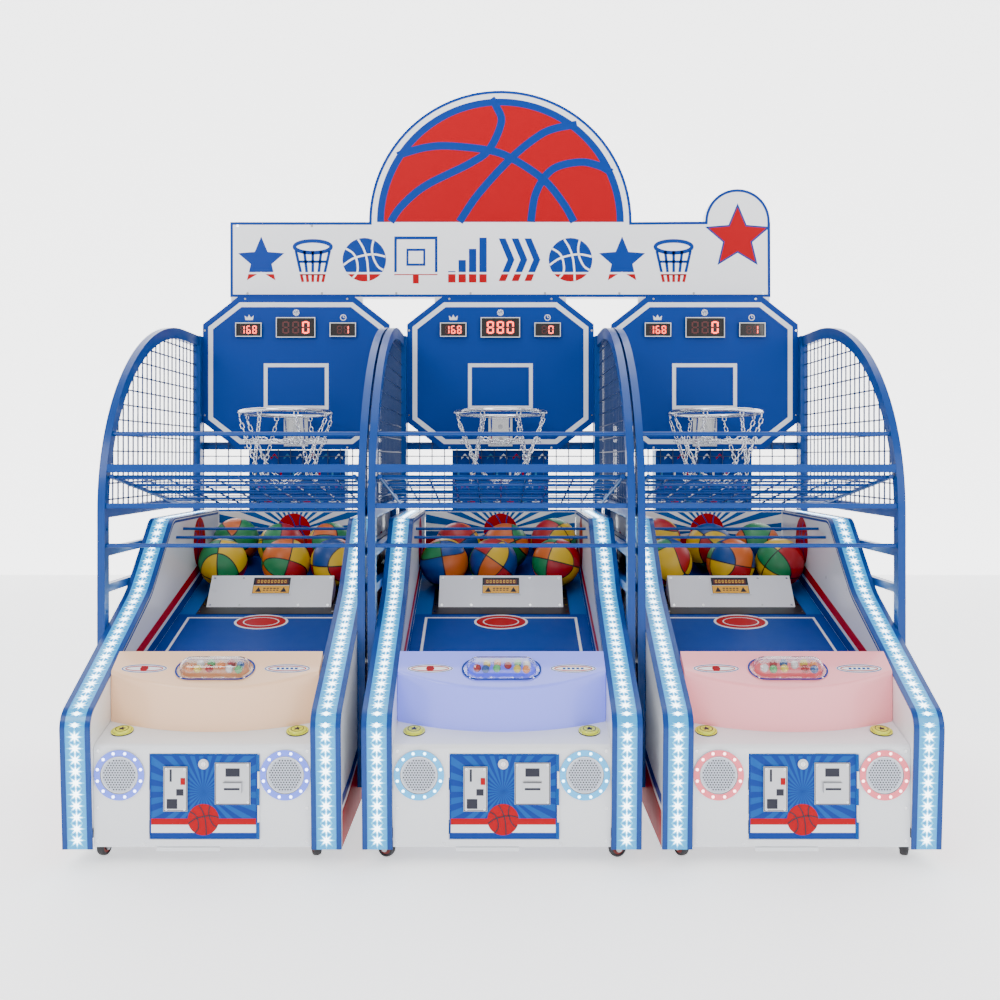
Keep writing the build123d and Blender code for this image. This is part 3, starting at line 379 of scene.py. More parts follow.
def digit(ch, x, z, w, h, t):
    """Lit and unlit bars of one seven-bar digit about its centre."""
    bars = {
        "a": rect(x - w / 2 + t, x + w / 2 - t, z + h / 2 - t, z + h / 2),
        "g": rect(x - w / 2 + t, x + w / 2 - t, z - t / 2, z + t / 2),
        "d": rect(x - w / 2 + t, x + w / 2 - t, z - h / 2, z - h / 2 + t),
        "f": rect(x - w / 2, x - w / 2 + t, z + t / 2, z + h / 2 - t / 2),
        "b": rect(x + w / 2 - t, x + w / 2, z + t / 2, z + h / 2 - t / 2),
        "e": rect(x - w / 2, x - w / 2 + t, z - h / 2 + t / 2, z - t / 2),
        "c": rect(x + w / 2 - t, x + w / 2, z - h / 2 + t / 2, z - t / 2),
    }
    lit = SEGMENTS.get(ch, "")
    return [bars[k] for k in bars if k in lit], [bars[k] for k in bars if k not in lit]


def write_digits(sheet, face, text, x, z, w, h, t, step):
    """Digits centred on a place, with every unlit bar showing faintly."""
    for i, ch in enumerate(text):
        lit, unlit = digit(ch, x + (i - (len(text) - 1) / 2) * step, z, w, h, t)
        sheet.add(face, unlit, "digit off", 0.3)
        sheet.add(face, lit, "digit", 0.6)


def clipped(shape, keep):
    """The part of a convex shape where keep(point) >= 0, keep being linear."""
    out = []
    for p, q in zip(shape, shape[1:] + shape[:1]):
        a, b = keep(p), keep(q)
        if a >= 0:
            out.append(p)
        if (a >= 0) != (b >= 0):
            t = a / (a - b)
            out.append((p[0] + (q[0] - p[0]) * t, p[1] + (q[1] - p[1]) * t))
    return out


def in_box(shape, x0, x1, z0, z1):
    """The part of a convex shape inside a box, or nothing."""
    for keep in (lambda p: p[0] - x0, lambda p: x1 - p[0], lambda p: p[1] - z0, lambda p: z1 - p[1]):
        shape = clipped(shape, keep)
        if len(shape) < 3:
            return []
    return shape


def rays(x, z, r, count, box):
    """Wedges out of one point, kept within a box."""
    found = []
    for i in range(count):
        a0, a1 = 2 * pi * i / count, 2 * pi * (i + 0.5) / count
        wedge = [(x, z), (x + r * cos(a0), z + r * sin(a0)), (x + r * cos(a1), z + r * sin(a1))]
        wedge = in_box(wedge, *box)
        if wedge:
            found.append(wedge)
    return found


def screws(sheet, face, spots, r=4.0, h=0.8):
    """Slotted screw heads."""
    for x, z in spots:
        sheet.add(face, [disc(x, z, r, 16)], "chrome", h)
        # the dark bar is the screw's slot: painted shade in the groove
        sheet.add(face, [rect(x - r * 0.7, x + r * 0.7, z - 0.4, z + 0.4)], "dark", h + 0.15)


# ---- the side boxes' outline -----------------------------------------------------------------
CORNERS = [(0, 48), (-25, 416), (530, 690), (780, 912), (1420, 912)]
RADII = [60, 250, 70]


def rounded(corners, radii, inset_by=0.0):
    """Points along the outline with its rounded corners, moved inwards."""
    points = [Vector(corners[0])]
    for i, r in enumerate(radii, start=1):
        a, p, b = (Vector(corners[i + k]) for k in (-1, 0, 1))
        u, v = (a - p).normalized(), (b - p).normalized()
        half = u.angle(v) / 2
        reach = r / tan(half)
        centre = p + (u + v).normalized() * (r / sin(half))
        s, e = p + u * reach, p + v * reach
        for k in range(13):
            d = (s - centre).lerp(e - centre, k / 12).normalized()
            points.append(centre + d * r)
    points.append(Vector(corners[-1]))
    out = []
    for i, p in enumerate(points):
        a, b = points[max(i - 1, 0)], points[min(i + 1, len(points) - 1)]
        t = (b - a).normalized()
        out.append(p + Vector((t.y, -t.x)) * inset_by)
    return out


def along(points, step, start=0.0):
    """Places every step along a line: (point, direction)."""
    found, left = [], start
    for a, b in zip(points, points[1:]):
        long = (b - a).length
        while left < long:
            found.append((a + (b - a) * (left / long), (b - a).normalized()))
            left += step
        left -= long
    return found


OUTLINE = rounded(CORNERS, RADII)
LAMP_PITCH, FIRST_LAMP, LAST_LAMP_DEPTH = 32.0, 26.0, 1380
for bay, bx in BAYS.items():
    lamps = Sheet(f"strip lamps {bay}")
    for side in (-1, 1):
        x = bx + side * SIDE_MID
        for p, t in along(OUTLINE, LAMP_PITCH, FIRST_LAMP):
            if p.x > LAST_LAMP_DEPTH:
                continue
            local = Face((x, FRONT + p.x, p.y), (1, 0, 0), (0, t.x, t.y))
            h = -0.7 if abs(t.x) > 0.999 or p.y < 330 else -0.2
            # the stars round each lamp are painted glare; these flat shapes are shorter where they would
            # stand off the tight lower bend
            tall = 0.4 if (p - Vector(CORNERS[1])).length < 50 else 1.0
            stars = [[(a, b * tall) for a, b in star(0, 0, r, 8, deep)]
                     for r, deep in ((25, 0.50), (17, 0.36))]
            lamps.add(local, stars[:1], "halo", h + 0.25)
            lamps.add(local, [stars[1], disc(0, 0, 6.5, 16)], "led", h + 0.5, 0.1)
            edges = [rect(-27, -25.5, -16 * tall, 16 * tall), rect(25.5, 27, -16 * tall, 16 * tall)]
            lamps.add(local, edges, "facet", h + 0.1)
    lamps.done()

# ---- side panel prints -----------------------------------------------------------------------
PRINT_EDGE = rounded(CORNERS, RADII, 7)


def edge_height(depth):
    """How high a side print may reach at a depth."""
    for a, b in zip(PRINT_EDGE, PRINT_EDGE[1:]):
        if a.x <= depth <= b.x and b.x > a.x:
            return a.y + (b.y - a.y) * (depth - a.x) / (b.x - a.x)
    return 905.0


def strip_between(low, high, d0, d1, step=20):
    """Quads between two heights that follow the depth, both kept under the outline."""
    line = []
    count = int((d1 - d0) / step)
    for i in range(count + 1):
        d = d0 + (d1 - d0) * i / count
        top = edge_height(max(d, 8)) - 1
        line.append((d, min(low(d), top), min(high(d), top)))
    return [[(x0, a0), (x1, a1), (x1, b1), (x0, b0)] for (x0, a0, b0), (x1, a1, b1) in zip(line, line[1:])]


def mirror(shapes, facing):
    """Shapes by depth, on a wall that faces right (1) or left (-1)."""
    return [[(a * facing, b) for a, b in s] for s in shapes]


def swoosh(base):
    """A height that sweeps up towards the back."""
    return lambda d: base + 0.00022 * d * d + 0.05 * d


def over_deck(gap):
    """A height a gap above the deck."""
    return lambda d: 496 + DECK_RISE * (d - 556) + gap


def under_edge(gap):
    return lambda d: edge_height(max(d, 8)) - gap


OUTER_D, INNER_D, EDGE_D = (12, 1410), (226, 1402), (240, 1402)    # depths that the prints run between
for bay, bx in BAYS.items():
    prints = Sheet(f"side prints {bay}")
    for side in (-1, 1):
        outer = sideways(bx + side * SIDE_OUT, side)
        prints.add(outer, mirror(strip_between(lambda d: 51, swoosh(150), *OUTER_D), side), "red")
        prints.add(outer, mirror(strip_between(swoosh(165), swoosh(195), *OUTER_D), side), "blue")
        prints.add(outer, mirror([disc(1060, 700, 150)], side), "red")
        prints.add(outer, mirror(seams(1060, 700, 150, 9), side), "white", 0.9, 0.012)
        inner = sideways(bx + side * SIDE_IN, -side)
        prints.add(inner, mirror(strip_between(over_deck(1), over_deck(34), *INNER_D), -side), "blue")
        prints.add(inner, mirror(strip_between(over_deck(48), over_deck(82), *INNER_D), -side), "red")
        prints.add(inner, mirror([disc(1120, 806, 84, rz=92)], -side), "red", 0.7)
        prints.add(inner, mirror(seams(1120, 806, 80, 6), -side), "blue", 1.0, 0.012)
        prints.add(inner, mirror(strip_between(under_edge(9), under_edge(0), *EDGE_D), -side), "blue")
    prints.done()

# ---- decks, back walls and gates -------------------------------------------------------------
for bay, bx in BAYS.items():
    art = Sheet(f"deck print {bay}")
    deck = deck_face(bx)
    art.add(deck, frame_band(rect(-262, 262, -672, -88), 9), "white")
    art.add(deck, [disc(0, -128, 92, rz=62)], "white", 0.5)
    art.add(deck, [disc(0, -128, 84, rz=54)], "red", 0.8)
    art.add(deck, band(disc(0, -128, 60, 40, 36), 4, True), "white", 1.1)
    art.add(deck, [rect(-297, -241, -62, 480), rect(241, 297, -62, 480)], "light blue", 0.4)
    wall = front(bx, BACK_WALL)
    art.add(wall, [rect(-296, 296, 700, 770)], "blue")
    art.add(wall, rays(0, 828, 500, 28, (-296, 296, 772, 903)), "light blue", 0.5)
    art.add(wall, [rect(-296, 296, 774, 800)], "red", 0.7)
    ball_print(art, wall, 0, 832, 66, "blue", h=1.0)
    art.done()

    flap = Sheet(f"gate print {bay}", f"gate_{bay}")
    plate = deck_face(bx, GATE_SLOPE)
    flap.add(plate, frame_band(rect(-66, 66, 56, 124), 2.0), "dark", 3.2)
    flap.add(plate, [rect(-64, 64, 92, 122)], "ink", 3.3)
    flap.add(plate, [rect(-58, 58, 97, 117)], "digit off", 3.5)
    for i in range(-4, 5):
        flap.add(plate, [rect(i * 12 - 3.6, i * 12 + 3.6, 101, 113)], "amber", 3.7)
        flap.add(plate, [rect(i * 12 - 1.4, i * 12 + 1.8, 104, 110)], "ink", 3.9)
    flap.add(plate, [rect(-64, 64, 58, 90)], "amber", 3.3)
    flap.add(plate, [[(-56, 63), (-34, 63), (-45, 84)], [(34, 63), (56, 63), (45, 84)]], "ink", 3.5)
    for i in range(-2, 3):
        dashes = [rect(i * 12 - 4, i * 12 + 4, 76, 80), rect(i * 12 - 4, i * 12 + 3, 68, 72)]
        flap.add(plate, dashes, "ink", 3.5)
    screws(flap, plate, [(x, y) for x in (-208, -104, 104, 208) for y in (10, 124)], 4.2, 0.6)
    flap.done()
    rim = Sheet(f"gate rim {bay}")
    screws(rim, deck, [(x, y) for x in (-232, 232) for y in (-40, 20, 80, 140)], 4, 2.4)
    rim.done()


# ---- balls -----------------------------------------------------------------------------------
def ball_material(name, colors):
    """Coloured panels with dark seams, from the ball's own coordinates."""
    m = bpy.data.materials.new(name)
    m.use_nodes = True
    nodes, links = m.node_tree.nodes, m.node_tree.links
    s = nodes["Principled BSDF"]
    s.inputs["Roughness"].default_value = 0.42
    s.inputs["Coat Weight"].default_value = 0.15
    place = nodes.new("ShaderNodeTexCoord")
    split = nodes.new("ShaderNodeSeparateXYZ")
    links.new(place.outputs["Object"], split.inputs[0])

    def math(kind, a, b=None):
        """The output of a math node on sockets or numbers."""
        node = nodes.new("ShaderNodeMath")
        node.operation = kind
        for i, value in enumerate((a, b)):
            if value is None:
                continue
            if isinstance(value, (int, float)):
                node.inputs[i].default_value = value
            else:
                links.new(value, node.inputs[i])
        return node.outputs[0]

    x, y, z = (math("DIVIDE", split.outputs[i], BALL_R) for i in range(3))
    bow = math("ADD", math("MULTIPLY", math("MULTIPLY", x, x), 0.42), 0.40)
    side = math("SUBTRACT", math("ABSOLUTE", y), bow)
    near = math("MINIMUM", math("ABSOLUTE", x), math("ABSOLUTE", z))
    near = math("MINIMUM", near, math("ABSOLUTE", side))
    seam = math("LESS_THAN", near, 0.026)
    index = math("MULTIPLY", math("GREATER_THAN", x, 0), 0.5)
    index = math("ADD", index, math("MULTIPLY", math("GREATER_THAN", z, 0), 0.25))
    index = math("ADD", index, math("MULTIPLY", math("GREATER_THAN", side, 0), 0.125))
    ramp = nodes.new("ShaderNodeValToRGB")
    ramp.color_ramp.interpolation = "CONSTANT"
    while len(ramp.color_ramp.elements) < 8:
        ramp.color_ramp.elements.new(0.5)
    for i, element in enumerate(ramp.color_ramp.elements):
        element.position = max(i * 0.125 - 0.03, 0)
        element.color = (*colors[i % len(colors)], 1)
    links.new(index, ramp.inputs[0])
    mix = nodes.new("ShaderNodeMix")
    mix.data_type = "RGBA"
    links.new(seam, mix.inputs[0])
    links.new(ramp.outputs[0], mix.inputs[6])
    mix.inputs[7].default_value = (0.012, 0.012, 0.012, 1)
    links.new(mix.outputs[2], s.inputs["Base Color"])
    pebbles = nodes.new("ShaderNodeTexVoronoi")
    pebbles.inputs["Scale"].default_value = 420.0
    links.new(place.outputs["Object"], pebbles.inputs["Vector"])
    bump = nodes.new("ShaderNodeBump")
    bump.inputs["Strength"].default_value = 0.25
    bump.inputs["Distance"].default_value = 0.0006
    links.new(pebbles.outputs["Distance"], bump.inputs["Height"])
    links.new(bump.outputs[0], s.inputs["Normal"])
    return m


R_, Y_, G_ = (0.40, 0.006, 0.012), (0.70, 0.45, 0.01), (0.012, 0.22, 0.07)
B_, O_ = (0.0, 0.05, 0.26), (0.62, 0.12, 0.008)
BALL_MATS = [
    ball_material("ball red yellow green", [R_, Y_, G_, Y_, R_, G_, Y_, G_]),
    ball_material("ball green orange blue", [G_, O_, R_, Y_, B_, G_, O_, B_]),
    ball_material("ball blue yellow red", [B_, Y_, R_, O_, Y_, R_, G_, B_]),
    ball_material("ball orange green", [O_, G_, Y_, R_, G_, O_, R_, Y_]),
]
# where each ball lies, across and up the deck
SPOTS = [(-204, 211.5), (28, 211.5), (208.5, 212), (-207, 450), (-20, 387), (165, 394)]
MIRROR = {"left": 1, "middle": -1, "right": 1}
sphere = sphere_mesh("ball", BALL_R, 56, 36)
count = 0
for bay, bx in BAYS.items():
    for across, up in SPOTS:
        o = place_object(f"ball_{bay}_{count % 6 + 1}", sphere.copy(),
                         deck_face(bx).at(MIRROR[bay] * across, up, BALL_REST),
                         (0.7 + count * 1.31, count * 0.83, count * 2.17))
        o.data.materials.append(BALL_MATS[(count * 3 + count // 6) % 4])
        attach(o, "ball_set")
        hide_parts("basketballs")
        count += 1

# ---- front cabinets --------------------------------------------------------------------------
for bay, bx in BAYS.items():
    door = Sheet(f"door print {bay}", f"door_{bay}")
    f = front(bx, 4.5)
    door_box = (-143, 150, 78, 306)
    door.add(f, [rect(*door_box)], "light blue", 0.3)
    door.add(f, rays(3, 205, 320, 26, door_box), "blue", 0.5)
    door.add(f, [rect(-143, 150, 78, 93)], "blue", 0.8)
    door.add(f, [rect(-143, 150, 93, 115)], "white", 0.8)
    door.add(f, [rect(-143, 150, 115, 132)], "red", 0.8)
    door.add(f, frame_band(rect(*door_box), 3), "blue", 1.1)
    ball_print(door, f, 3, 129, 43, "ink", h=1.2)
    coin = front(bx, -1.5)
    door.add(coin, frame_band(rect(-104, -41, 154, 274), 2), "dark", 0.2)
    screws(door, coin, [(-97, 268), (-48, 268), (-97, 158), (-48, 158)], 3, 0.4)
    # the narrow dark bar is the coin slot: painted shade in the opening
    door.add(coin, [rect(-88, -82, 234, 268)], "ink", 0.2)
    door.add(coin, [rect(-96, -67, 160, 187)], "ink", 0.2)
    door.add(coin, [rect(-70, -50, 196, 214)], "ink", 0.2)
    ticket = front(bx, 1.5)
    door.add(ticket, frame_band(rect(36, 131, 171, 285), 2), "dark", 0.2)
    screws(door, ticket, [(42, 279), (125, 279), (42, 177), (125, 177)], 3, 0.4)
    spout = front(bx, -9)
    # the thin dark bar on the spout is the ticket slot: painted shade in the opening
    door.add(spout, [rect(62, 105, 213, 219)], "ink", 0.3)
    door.add(ticket, [rect(64, 103, 247, 270)], "ink", 0.3)
    door.done()

    cab = Sheet(f"cabinet details {bay}")
    wall = front(bx, 6)
    spots = [(x, z) for x in (-286, 286) for z in (70, 160, 316)] + [(-160, 62), (160, 62)]
    screws(cab, wall, spots, 3.5, 0.6)
    for side in (-1, 1):
        ring = front(bx + side * SPEAKER_X, 1)
        grille = front(bx + side * SPEAKER_X, 3)
        holes = []
        for row in range(-6, 7):
            for col in range(-6, 7):
                a, b = (col + (row % 2) * 0.5) * 7.6, row * 6.6
                if hypot(a, b) < 45:
                    holes.append(disc(a, SPEAKER_Z + b, 2.3, 10))
        cab.add(grille, [disc(0, SPEAKER_Z, 49, 64)], "grille", 0.25)
        # the near-black discs stand for the grille's holes: painted shade seen through them
        cab.add(grille, holes, "hole", 0.45)
        cab.add(grille, band(disc(0, SPEAKER_Z, 49, 64), 2.2, True), "white", 0.6)
        cab.add(ring, band(disc(0, SPEAKER_Z, 60.5, 64), 16.5, True), RINGS[bay], 0.3)
        for i in range(12):
            a = 2 * pi * (i + 0.5) / 12
            spot = (61 * cos(a), SPEAKER_Z + 61 * sin(a))
            cab.add(ring, [disc(*spot, 7.5, 20)], RINGS[bay], 0.5)
            cab.add(ring, [disc(*spot, 4.2, 16)], LAMPS[bay], 0.8)
        shelf = shelf_face(bx)
        up = 80 / cos(SHELF)
        x = side * BUTTON_X
        cab.add(shelf, band(disc(x, up, 28.4, 40), 5.2, True), "yellow", 3.4)
        letter = "a" if side < 0 else "b"
        cap = Sheet(f"button mark {bay} {letter}", f"start_{bay}_{letter}")
        cap.add(shelf, band(disc(x, up, 17.5, 36), 2.2, True), "ink", 9.4)
        cap.add(shelf, [star(x, up, 12.5)], "ink", 9.4)
        cap.done()
    cab.done()

# ---- consoles --------------------------------------------------------------------------------
TOY_MATS = ["red", "rubber yellow", "green", "light blue", "orange", "white"]
TOYS = [(-70, -8, 0), (-42, 8, 1), (-46, -13, 3), (-14, -10, 2), (-12, 11, 4), (18, 4, 0),
        (44, -12, 1), (46, 11, 2), (72, 4, 5), (70, -14, 4)]    # across, up the hood, colour
hood_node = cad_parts["control_hoods"]
hood_node.data.materials.clear()
for bay in BAYS:
    hood_node.data.materials.append(HOODS[bay])
for polygon in hood_node.data.polygons:
    x = hood_node.data.vertices[polygon.vertices[0]].co.x
    polygon.material_index = round(x / (BAYS["right"] * MM)) + 1

for bay, bx in BAYS.items():
    top = Sheet(f"console labels {bay}")
    f = hood_face(bx)
    y = 4
    for x in (-205, 205):
        top.add(f, [disc(x, y, 66, 48, 19)], "white", 0.3)
        top.add(f, band(disc(x, y, 63, 48, 16), 2.6, True), "blue", 0.5)
        top.add(f, band(disc(x, y, 53, 48, 10), 3.2, True), "red", 0.5)
        if x < 0:
            ball_print(top, f, x, y, 12, "ink", h=0.7, rz=0.9)
        else:
            bars = [rect(x - 30 + 13 * i, x - 22 + 13 * i, y - 3.5, y + 3.5) for i in range(5)]
            top.add(f, bars, "blue", 0.7)
    outline = []
    for centre, turn in ((67, -90), (-68, 90)):
        bend = [radians(turn + 180 * i / 24) for i in range(25)]
        outline += [(centre + 44 * cos(a), 44 * sin(a)) for a in bend]
    top.add(f, band(outline, 5.5, True), "blue", 3.0)
    screws(top, f, [(x, y) for x in (-90, -30, 30, 90) for y in (-38, 38)], 2.4, 3.2)
    top.done()
    for n, (a, b, k) in enumerate(TOYS):
        mesh = sphere_mesh(f"toy_ball_{bay}_{n}", 11.5 * MM, 20, 12)
        mesh.materials.append(M[TOY_MATS[(k + len(bay)) % 6]])
        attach(place_object(mesh.name, mesh, f.at(a, b, 12.5)), "machine")

# ---- backboards, displays and hoops ----------------------------------------------------------
BOARD = [(-234, 1152), (234, 1152), (375, 1262), (375, 1655),
         (234, 1765), (-234, 1765), (-375, 1655), (-375, 1262)]
# each display's middle, width and height
CASES = [(0, 1641, 157, 81), (-189, DISPLAY_Z, 105, 56.5), (189, DISPLAY_Z, 105, 56.5)]
SCORES = {"left": ("168", "0", "1"), "middle": ("168", "880", "0"), "right": ("168", "0", "1")}
for bay, bx in BAYS.items():
    art = Sheet(f"backboard print {bay}")
    f = front(bx, BOARD_FACE)
    art.add(f, frame_band(inset(BOARD, 22), 19), "white", 0.5)
    art.add(f, frame_band(rect(-130, 130, 1313, 1498), 15), "white", 0.5)
    crown = [(-204, 1672), (-174, 1672), (-171, 1690), (-182, 1681), (-189, 1694), (-196, 1681), (-207, 1690)]
    art.add(f, [crown], "white", 0.5)
    art.add(f, [disc(0, 1702, 13)], "white", 0.5)
    art.add(f, seams(0, 1702, 13, 1.8), "blue", 0.8, 0.012)
    art.add(f, band(disc(189, 1682, 11, 32), 3, True), "white", 0.5)
    art.add(f, [rect(187.8, 190.2, 1682, 1690), rect(189, 195, 1681, 1683.4)], "white", 0.5)
    spots = [(x, z) for x in (-205, 205) for z in (1160, 1757)]
    spots += [(x, z) for x in (-367, 367) for z in (1290, 1630)]
    screws(art, f, spots, 4, 0.7)
    plate = front(bx, 1456)
    art.add(plate, frame_band(rect(-48, 48, 1166, 1276), 2), "steel", 0.4)
    art.done()
    scores = Sheet(f"score digits {bay}")
    window = front(bx, 1451)
    small, big, last = SCORES[bay]
    write_digits(scores, window, small, -189, DISPLAY_Z, 17, 32, 4, 24)
    write_digits(scores, window, big.rjust(3), 0, 1641, 28, 50, 6.5, 40)
    write_digits(scores, window, last.rjust(2), 189, DISPLAY_Z, 20, 32, 4, 27)
    case = front(bx, 1448)
    for x, z, w, h in CASES:
        scores.add(case, frame_band(rect(x - w / 2, x + w / 2, z - h / 2, z + h / 2), 3), "white", 0.4)
    scores.done()


def link(centre, t, turn, long=27.0, wide=17.0, wire=2.1):
    """Vertices and faces of one oval chain link, its long side along t."""
    t = t.normalized()
    side = t.cross(Vector((0.31, 0.53, 0.79))).normalized()
    side = Matrix.Rotation(turn, 3, t) @ side
    up = t.cross(side)
    n, k = 20, 7      # points along the link and around its wire
    r, straight = (wide - 2 * wire) / 2, (long - wide) / 2
    verts, faces = [], []
    for i in range(n):
        a = 2 * pi * i / n
        shift = straight if cos(a) > 0 else -straight
        mid = centre + t * (r * cos(a) + shift) + side * (r * sin(a))
        out = t * cos(a) + side * sin(a)
        here, after = i * k, (i + 1) % n * k
        for j in range(k):
            b, up_next = 2 * pi * j / k, (j + 1) % k
            verts.append((mid + out * (wire * cos(b)) + up * (wire * sin(b))) * MM)
            faces.append((here + j, after + j, after + up_next, here + up_next))
    return verts, faces


def hang(points, pitch=20.0):
    """Places for chain links along a line of points, every other one turned a quarter."""
    spots = along(points, pitch, pitch * 0.5)
    return [(p, t, (pi / 2) * (i % 2) + 0.35) for i, (p, t) in enumerate(spots)]


def arc_points(a, low, b, n=24):
    """A smooth sag from a to b through its low point."""
    middle = low * 2 - (a + b) / 2
    steps = [i / n for i in range(n + 1)]
    return [a * (1 - s) ** 2 + middle * (2 * s * (1 - s)) + b * s ** 2 for s in steps]


HOOP_D, HOOP_Z, HOOP_R, HOOP_DIP = 1240.0, 1291.0, 175.0, radians(2)
HOOK_DROP, NET_HOLD = 27, 0.42      # the hooks below the ring; how far down the side chains join


def about_hoop(x, angle, r, z):
    """A point round a lane's hoop, in degrees from the right."""
    return Vector((x + r * cos(radians(angle)), FRONT + HOOP_D + r * sin(radians(angle)), z))


def hook(x, angle):
    z = HOOP_Z - HOOP_R * sin(radians(angle)) * tan(HOOP_DIP)
    return about_hoop(x, angle, HOOP_R, z - HOOK_DROP)


for bay, bx in BAYS.items():
    links = []
    tops = {a: hook(bx, a) for a in [22.5 + 45 * i for i in range(8)]}
    feet = {a: about_hoop(bx, a, 138, 1100) for a in (45, 135, 225, 315)}
    for a, top in tops.items():
        links += hang([top, feet[45 + 90 * int(a // 90)]])
    for a, foot in feet.items():
        after = feet[(a + 90) % 360]
        links += hang(arc_points(foot, about_hoop(bx, a + 45, 112, 1026), after))
        left = tops[a + 22.5].lerp(foot, NET_HOLD)
        right = tops[(a + 67.5) % 360].lerp(after, NET_HOLD)
        links += hang(arc_points(left, about_hoop(bx, a + 45, 150, 1180), right))
    verts, faces = [], []
    for p, t, turn in links:
        v, fs = link(p, t, turn)
        faces += [tuple(i + len(verts) for i in q) for q in fs]
        verts += v
    net = mesh_object(f"chain net {bay}", verts, faces, [M["chrome"]], smooth=True)
    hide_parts("chain_nets")

# ---- control boxes ---------------------------------------------------------------------------
for bay, bx in BAYS.items():
    art = Sheet(f"control box print {bay}")
    f = front(bx, 1482)
    art.add(f, [rect(-194, 194, 911, 1149)], "blue", 0.2)
    for row in range(4):
        z = 944 + row * 60
        for i in range(-3, 4):
            x = i * 52 + (26 if row % 2 else 0) - 13
            if abs(x) > 176:
                continue
            key = ("white", "red", "teal")[(i + row) % 3]
            if row % 2:
                art.add(f, [[(x - 15, z - 12), (x, z + 2), (x + 15, z - 12),
                             (x + 15, z - 2), (x, z + 12), (x - 15, z - 2)]], key, 0.5)
            else:
                art.add(f, [rect(x - 15, x + 15, z - 4, z + 4), rect(x - 4, x + 4, z - 15, z + 15)], key, 0.5)
    art.done()

# ---- sign ------------------------------------------------------------------------------------
sign = Sheet("sign print")
f = front(0, SIGN_FACE)
LOW, HIGH, HALF, DOME, TAB = 1767.0, 2070.0, 1090.0, 530.0, (957.0, 2072.0, 131.0)


def half_disc(r, lift=0.0):
    """The upper half of a disc on the sign's straight top edge."""
    return [(r * cos(a), HIGH + lift + r * sin(a)) for a in [pi * i / 72 for i in range(73)]]


def sign_edge():
    """The sign's outline, counterclockwise from its lower left corner."""
    tx, tz, tr = TAB
    tab = [(tx + tr * cos(a), tz + tr * sin(a)) for a in [radians(180 * i / 30) for i in range(31)]]
    tab = [(x, z) for x, z in tab if x <= HALF and z >= HIGH]
    return [(-HALF, LOW), (HALF, LOW)] + tab + half_disc(DOME) + [(-HALF, HIGH)]


def edge_line(points, width, inwards):
    """Quads inside a closed outline that may turn sharply."""
    line = [Vector(p) for p in points]
    out = []
    for i, p in enumerate(line):
        a, b = line[i - 1], line[(i + 1) % len(line)]
        u, v = (p - a).normalized(), (b - p).normalized()
        n = Vector((-u.y - v.y, u.x + v.x))
        n = n.normalized() if n.length > 0.01 else Vector((-u.y, u.x))
        k = max(n.dot(Vector((-u.y, u.x))), 0.4)
        out.append(((p + n * (inwards / k)), (p + n * ((inwards + width) / k))))
    return [[tuple(a[0]), tuple(b[0]), tuple(b[1]), tuple(a[1])] for a, b in zip(out, out[1:] + out[:1])]


sign.add(f, edge_line(sign_edge(), 11, 0), "blue", 0.6)
R = 498.0
STROKES = [  # seams of the large half ball, in its radius
    [(-.075, 1.0), (-.03, .93), (.007, .808), (-.087, .594), (-.245, .476), (-.605, .295),
     (-.80, .13), (-.889, 0)],
    [(-.83, .535), (-.78, .557), (-.60, .605), (-.408, .616), (-.081, .579), (.116, .502),
     (.356, .338), (.509, .153), (.596, 0)],
    [(-.332, 0), (-.168, .24), (.094, .524), (.312, .699), (.45, .76), (.62, .79)],
    [(.247, 0), (.29, .24), (.421, .426), (.64, .485), (.80, .455), (.90, .40)],
]


sign.add(f, [half_disc(R)], "blue", 0.6)
sign.add(f, [half_disc(R * 0.942, 1)], "red", 0.8)
for k, stroke in enumerate(STROKES):
    line = smooth_line([(x * R, HIGH + max(z * R, 1)) for x, z in stroke])
    sign.add(f, band(line, 31), "blue", 1.0 + 0.15 * k)
sign.add(f, [star(TAB[0], 2008, 138)], "blue", 0.8)
sign.add(f, [star(TAB[0], 2008, 122)], "red", 1.1)


def two_tone(shapes, split=1868.0):
    """Icons that are blue above a height and red below it."""
    for shape in shapes:
        upper = clipped(shape, lambda p: p[1] - split)
        lower = clipped(shape, lambda p: split - 8 - p[1])
        if len(upper) > 2:
            sign.add(f, [upper], "blue", 0.8)
        if len(lower) > 2:
            sign.add(f, [lower], "red", 0.8)


def fan(x, z, outline):
    """Triangles from a place inside an outline to each of its edges."""
    return [[(x, z), a, b] for a, b in zip(outline, outline[1:] + outline[:1])]


def icon(kind, x):
    """One of the sign's plain pictures."""
    z, s = 1918.0, 88.0
    if kind == "ball":
        two_tone(fan(x, z, disc(x, z, s, 36)))
        sign.add(f, seams(x, z, s, 8), "sign white", 1.1, 0.012)
    elif kind == "star":
        two_tone(fan(x, z, star(x, z - 4, 98)))
    elif kind == "hoop":
        two_tone(band(disc(x, z + 52, 74, 32, 24), 15, True))
        for i in range(-2, 3):
            two_tone(band([(x + i * 34, z + 36), (x + i * 20, z - 90)], 11))
        two_tone(band([(x - 56, z - 8), (x + 56, z - 8)], 10))
        two_tone(band([(x - 48, z - 58), (x + 48, z - 58)], 10))
    elif kind == "board":
        two_tone(band([(x - 82, z - 56), (x + 82, z - 56), (x + 82, z + 88), (x - 82, z + 88)], 16, True))
        two_tone(band([(x - 34, z - 20), (x + 34, z - 20), (x + 34, z + 40), (x - 34, z + 40)], 13, True))
        two_tone([rect(x - 12, x + 12, z - 96, z - 62)])
    elif kind == "bars":
        for i in range(4):
            two_tone([rect(x - 78 + i * 42, x - 48 + i * 42, z - 92, z - 46 + i * 45)])
    elif kind == "arrow":
        for i in range(3):
            a = x - 62 + i * 52
            two_tone([[(a - 20, z + 86), (a + 8, z + 86), (a + 44, z), (a + 16, z)],
                      [(a + 16, z), (a + 44, z), (a + 8, z - 86), (a - 20, z - 86)]])


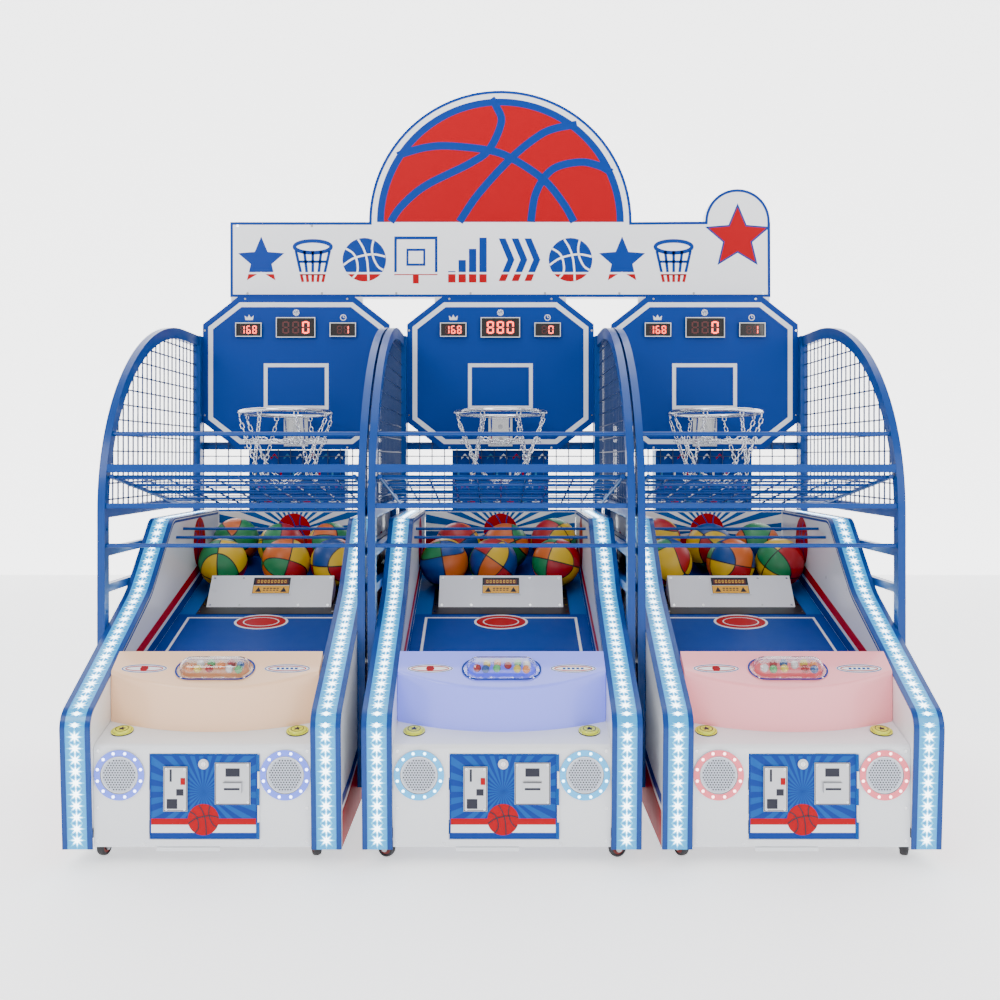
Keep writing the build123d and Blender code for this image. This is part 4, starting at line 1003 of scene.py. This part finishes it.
kinds = ["star", "hoop", "ball", "board", "bars", "arrow", "ball", "star", "hoop"]
for i, kind in enumerate(kinds):
    icon(kind, -965 + i * 208)
screws(sign, f, [(x, 1783) for x in (-1020, -720, -420, -120, 180, 480, 780, 1060)] +
       [(x, 2054) for x in (-1060, -760)], 5, 1.2)
sign.done()

# ---- castor cores ----------------------------------------------------------------------------
TURNS = [-15, 20, 65, -70, 30, -25]
xs = [bx + side * CASTOR_X for bx in BAYS.values() for side in (-1, 1)]
for i, (x, turn) in enumerate(zip(xs, TURNS), start=1):
    r = radians(turn)
    centre = Vector((x - CASTOR_TRAIL * sin(r), FRONT + CASTOR_DEPTH + CASTOR_TRAIL * cos(r), CASTOR_R))
    axle = Vector((cos(r), sin(r), 0))
    for side in (-1, 1):
        hub = Sheet(f"castor hub {i} {'left' if side < 0 else 'right'}", f"wheel_{i}")
        face = Face(centre + axle * side * 8.0, Vector((0, 0, 1)).cross(axle * side), (0, 0, 1))
        hub.add(face, band(disc(0, 0, 13, 32), 7, True), "castor red", 0.3)
        hub.done()

# ---- floor, light and camera -----------------------------------------------------------------
work = bmesh.new()
bmesh.ops.create_grid(work, x_segments=1, y_segments=1, size=30)
floor_mesh = bpy.data.meshes.new("floor")
work.to_mesh(floor_mesh)
work.free()
floor_mesh.materials.append(material("white floor", (0.95, 0.95, 0.96), 0.6, glow=1.2, glow_color=(1, 1, 1)))
place_object("floor", floor_mesh, (0, 0, -0.0005))

backdrop_mesh = bpy.data.meshes.new("backdrop")
backdrop_mesh.from_pydata([(-30, 7, -1), (30, 7, -1), (30, 7, 30), (-30, 7, 30)], [], [(0, 1, 2, 3)])
backdrop_mesh.materials.append(material("lit backdrop", (1, 1, 1), 0.8, glow=3.2, glow_color=(1, 1, 1)))
place_object("backdrop", backdrop_mesh)

world = bpy.data.worlds.new("studio")
world.use_nodes = True
sky = world.node_tree.nodes["Background"]
sky.inputs["Color"].default_value = (1, 1, 1, 1)
sky.inputs["Strength"].default_value = 1.05
bpy.context.scene.world = world


def area(name, place, aim, size, power):
    """A square lamp at a place, turned to what it lights."""
    lamp = bpy.data.lights.new(name, "AREA")
    lamp.shape, lamp.size, lamp.energy = "SQUARE", size, power
    turn = (Vector(aim) - Vector(place)).to_track_quat("-Z", "Y").to_euler()
    place_object(name, lamp, place, turn)


area("key", (-3.0, -4.5, 4.2), (0, 0, 0.9), 2.5, 190)
area("fill", (3.4, -4.0, 2.8), (0, 0, 0.9), 3.0, 110)
area("top", (0, -0.5, 5.0), (0, 0, 0), 3.0, 90)

cam = bpy.data.cameras.new("camera")
cam.sensor_width, cam.lens = 36.0, 41.04
cam.shift_x, cam.shift_y = 0.0029, -0.0425
scene = bpy.context.scene
scene.camera = place_object("camera", cam, (-0.0132, (FRONT - 3116) * MM, 1.120), (pi / 2, 0, 0))
scene.view_settings.look = "AgX - Punchy"
scene.view_settings.exposure = 0.3
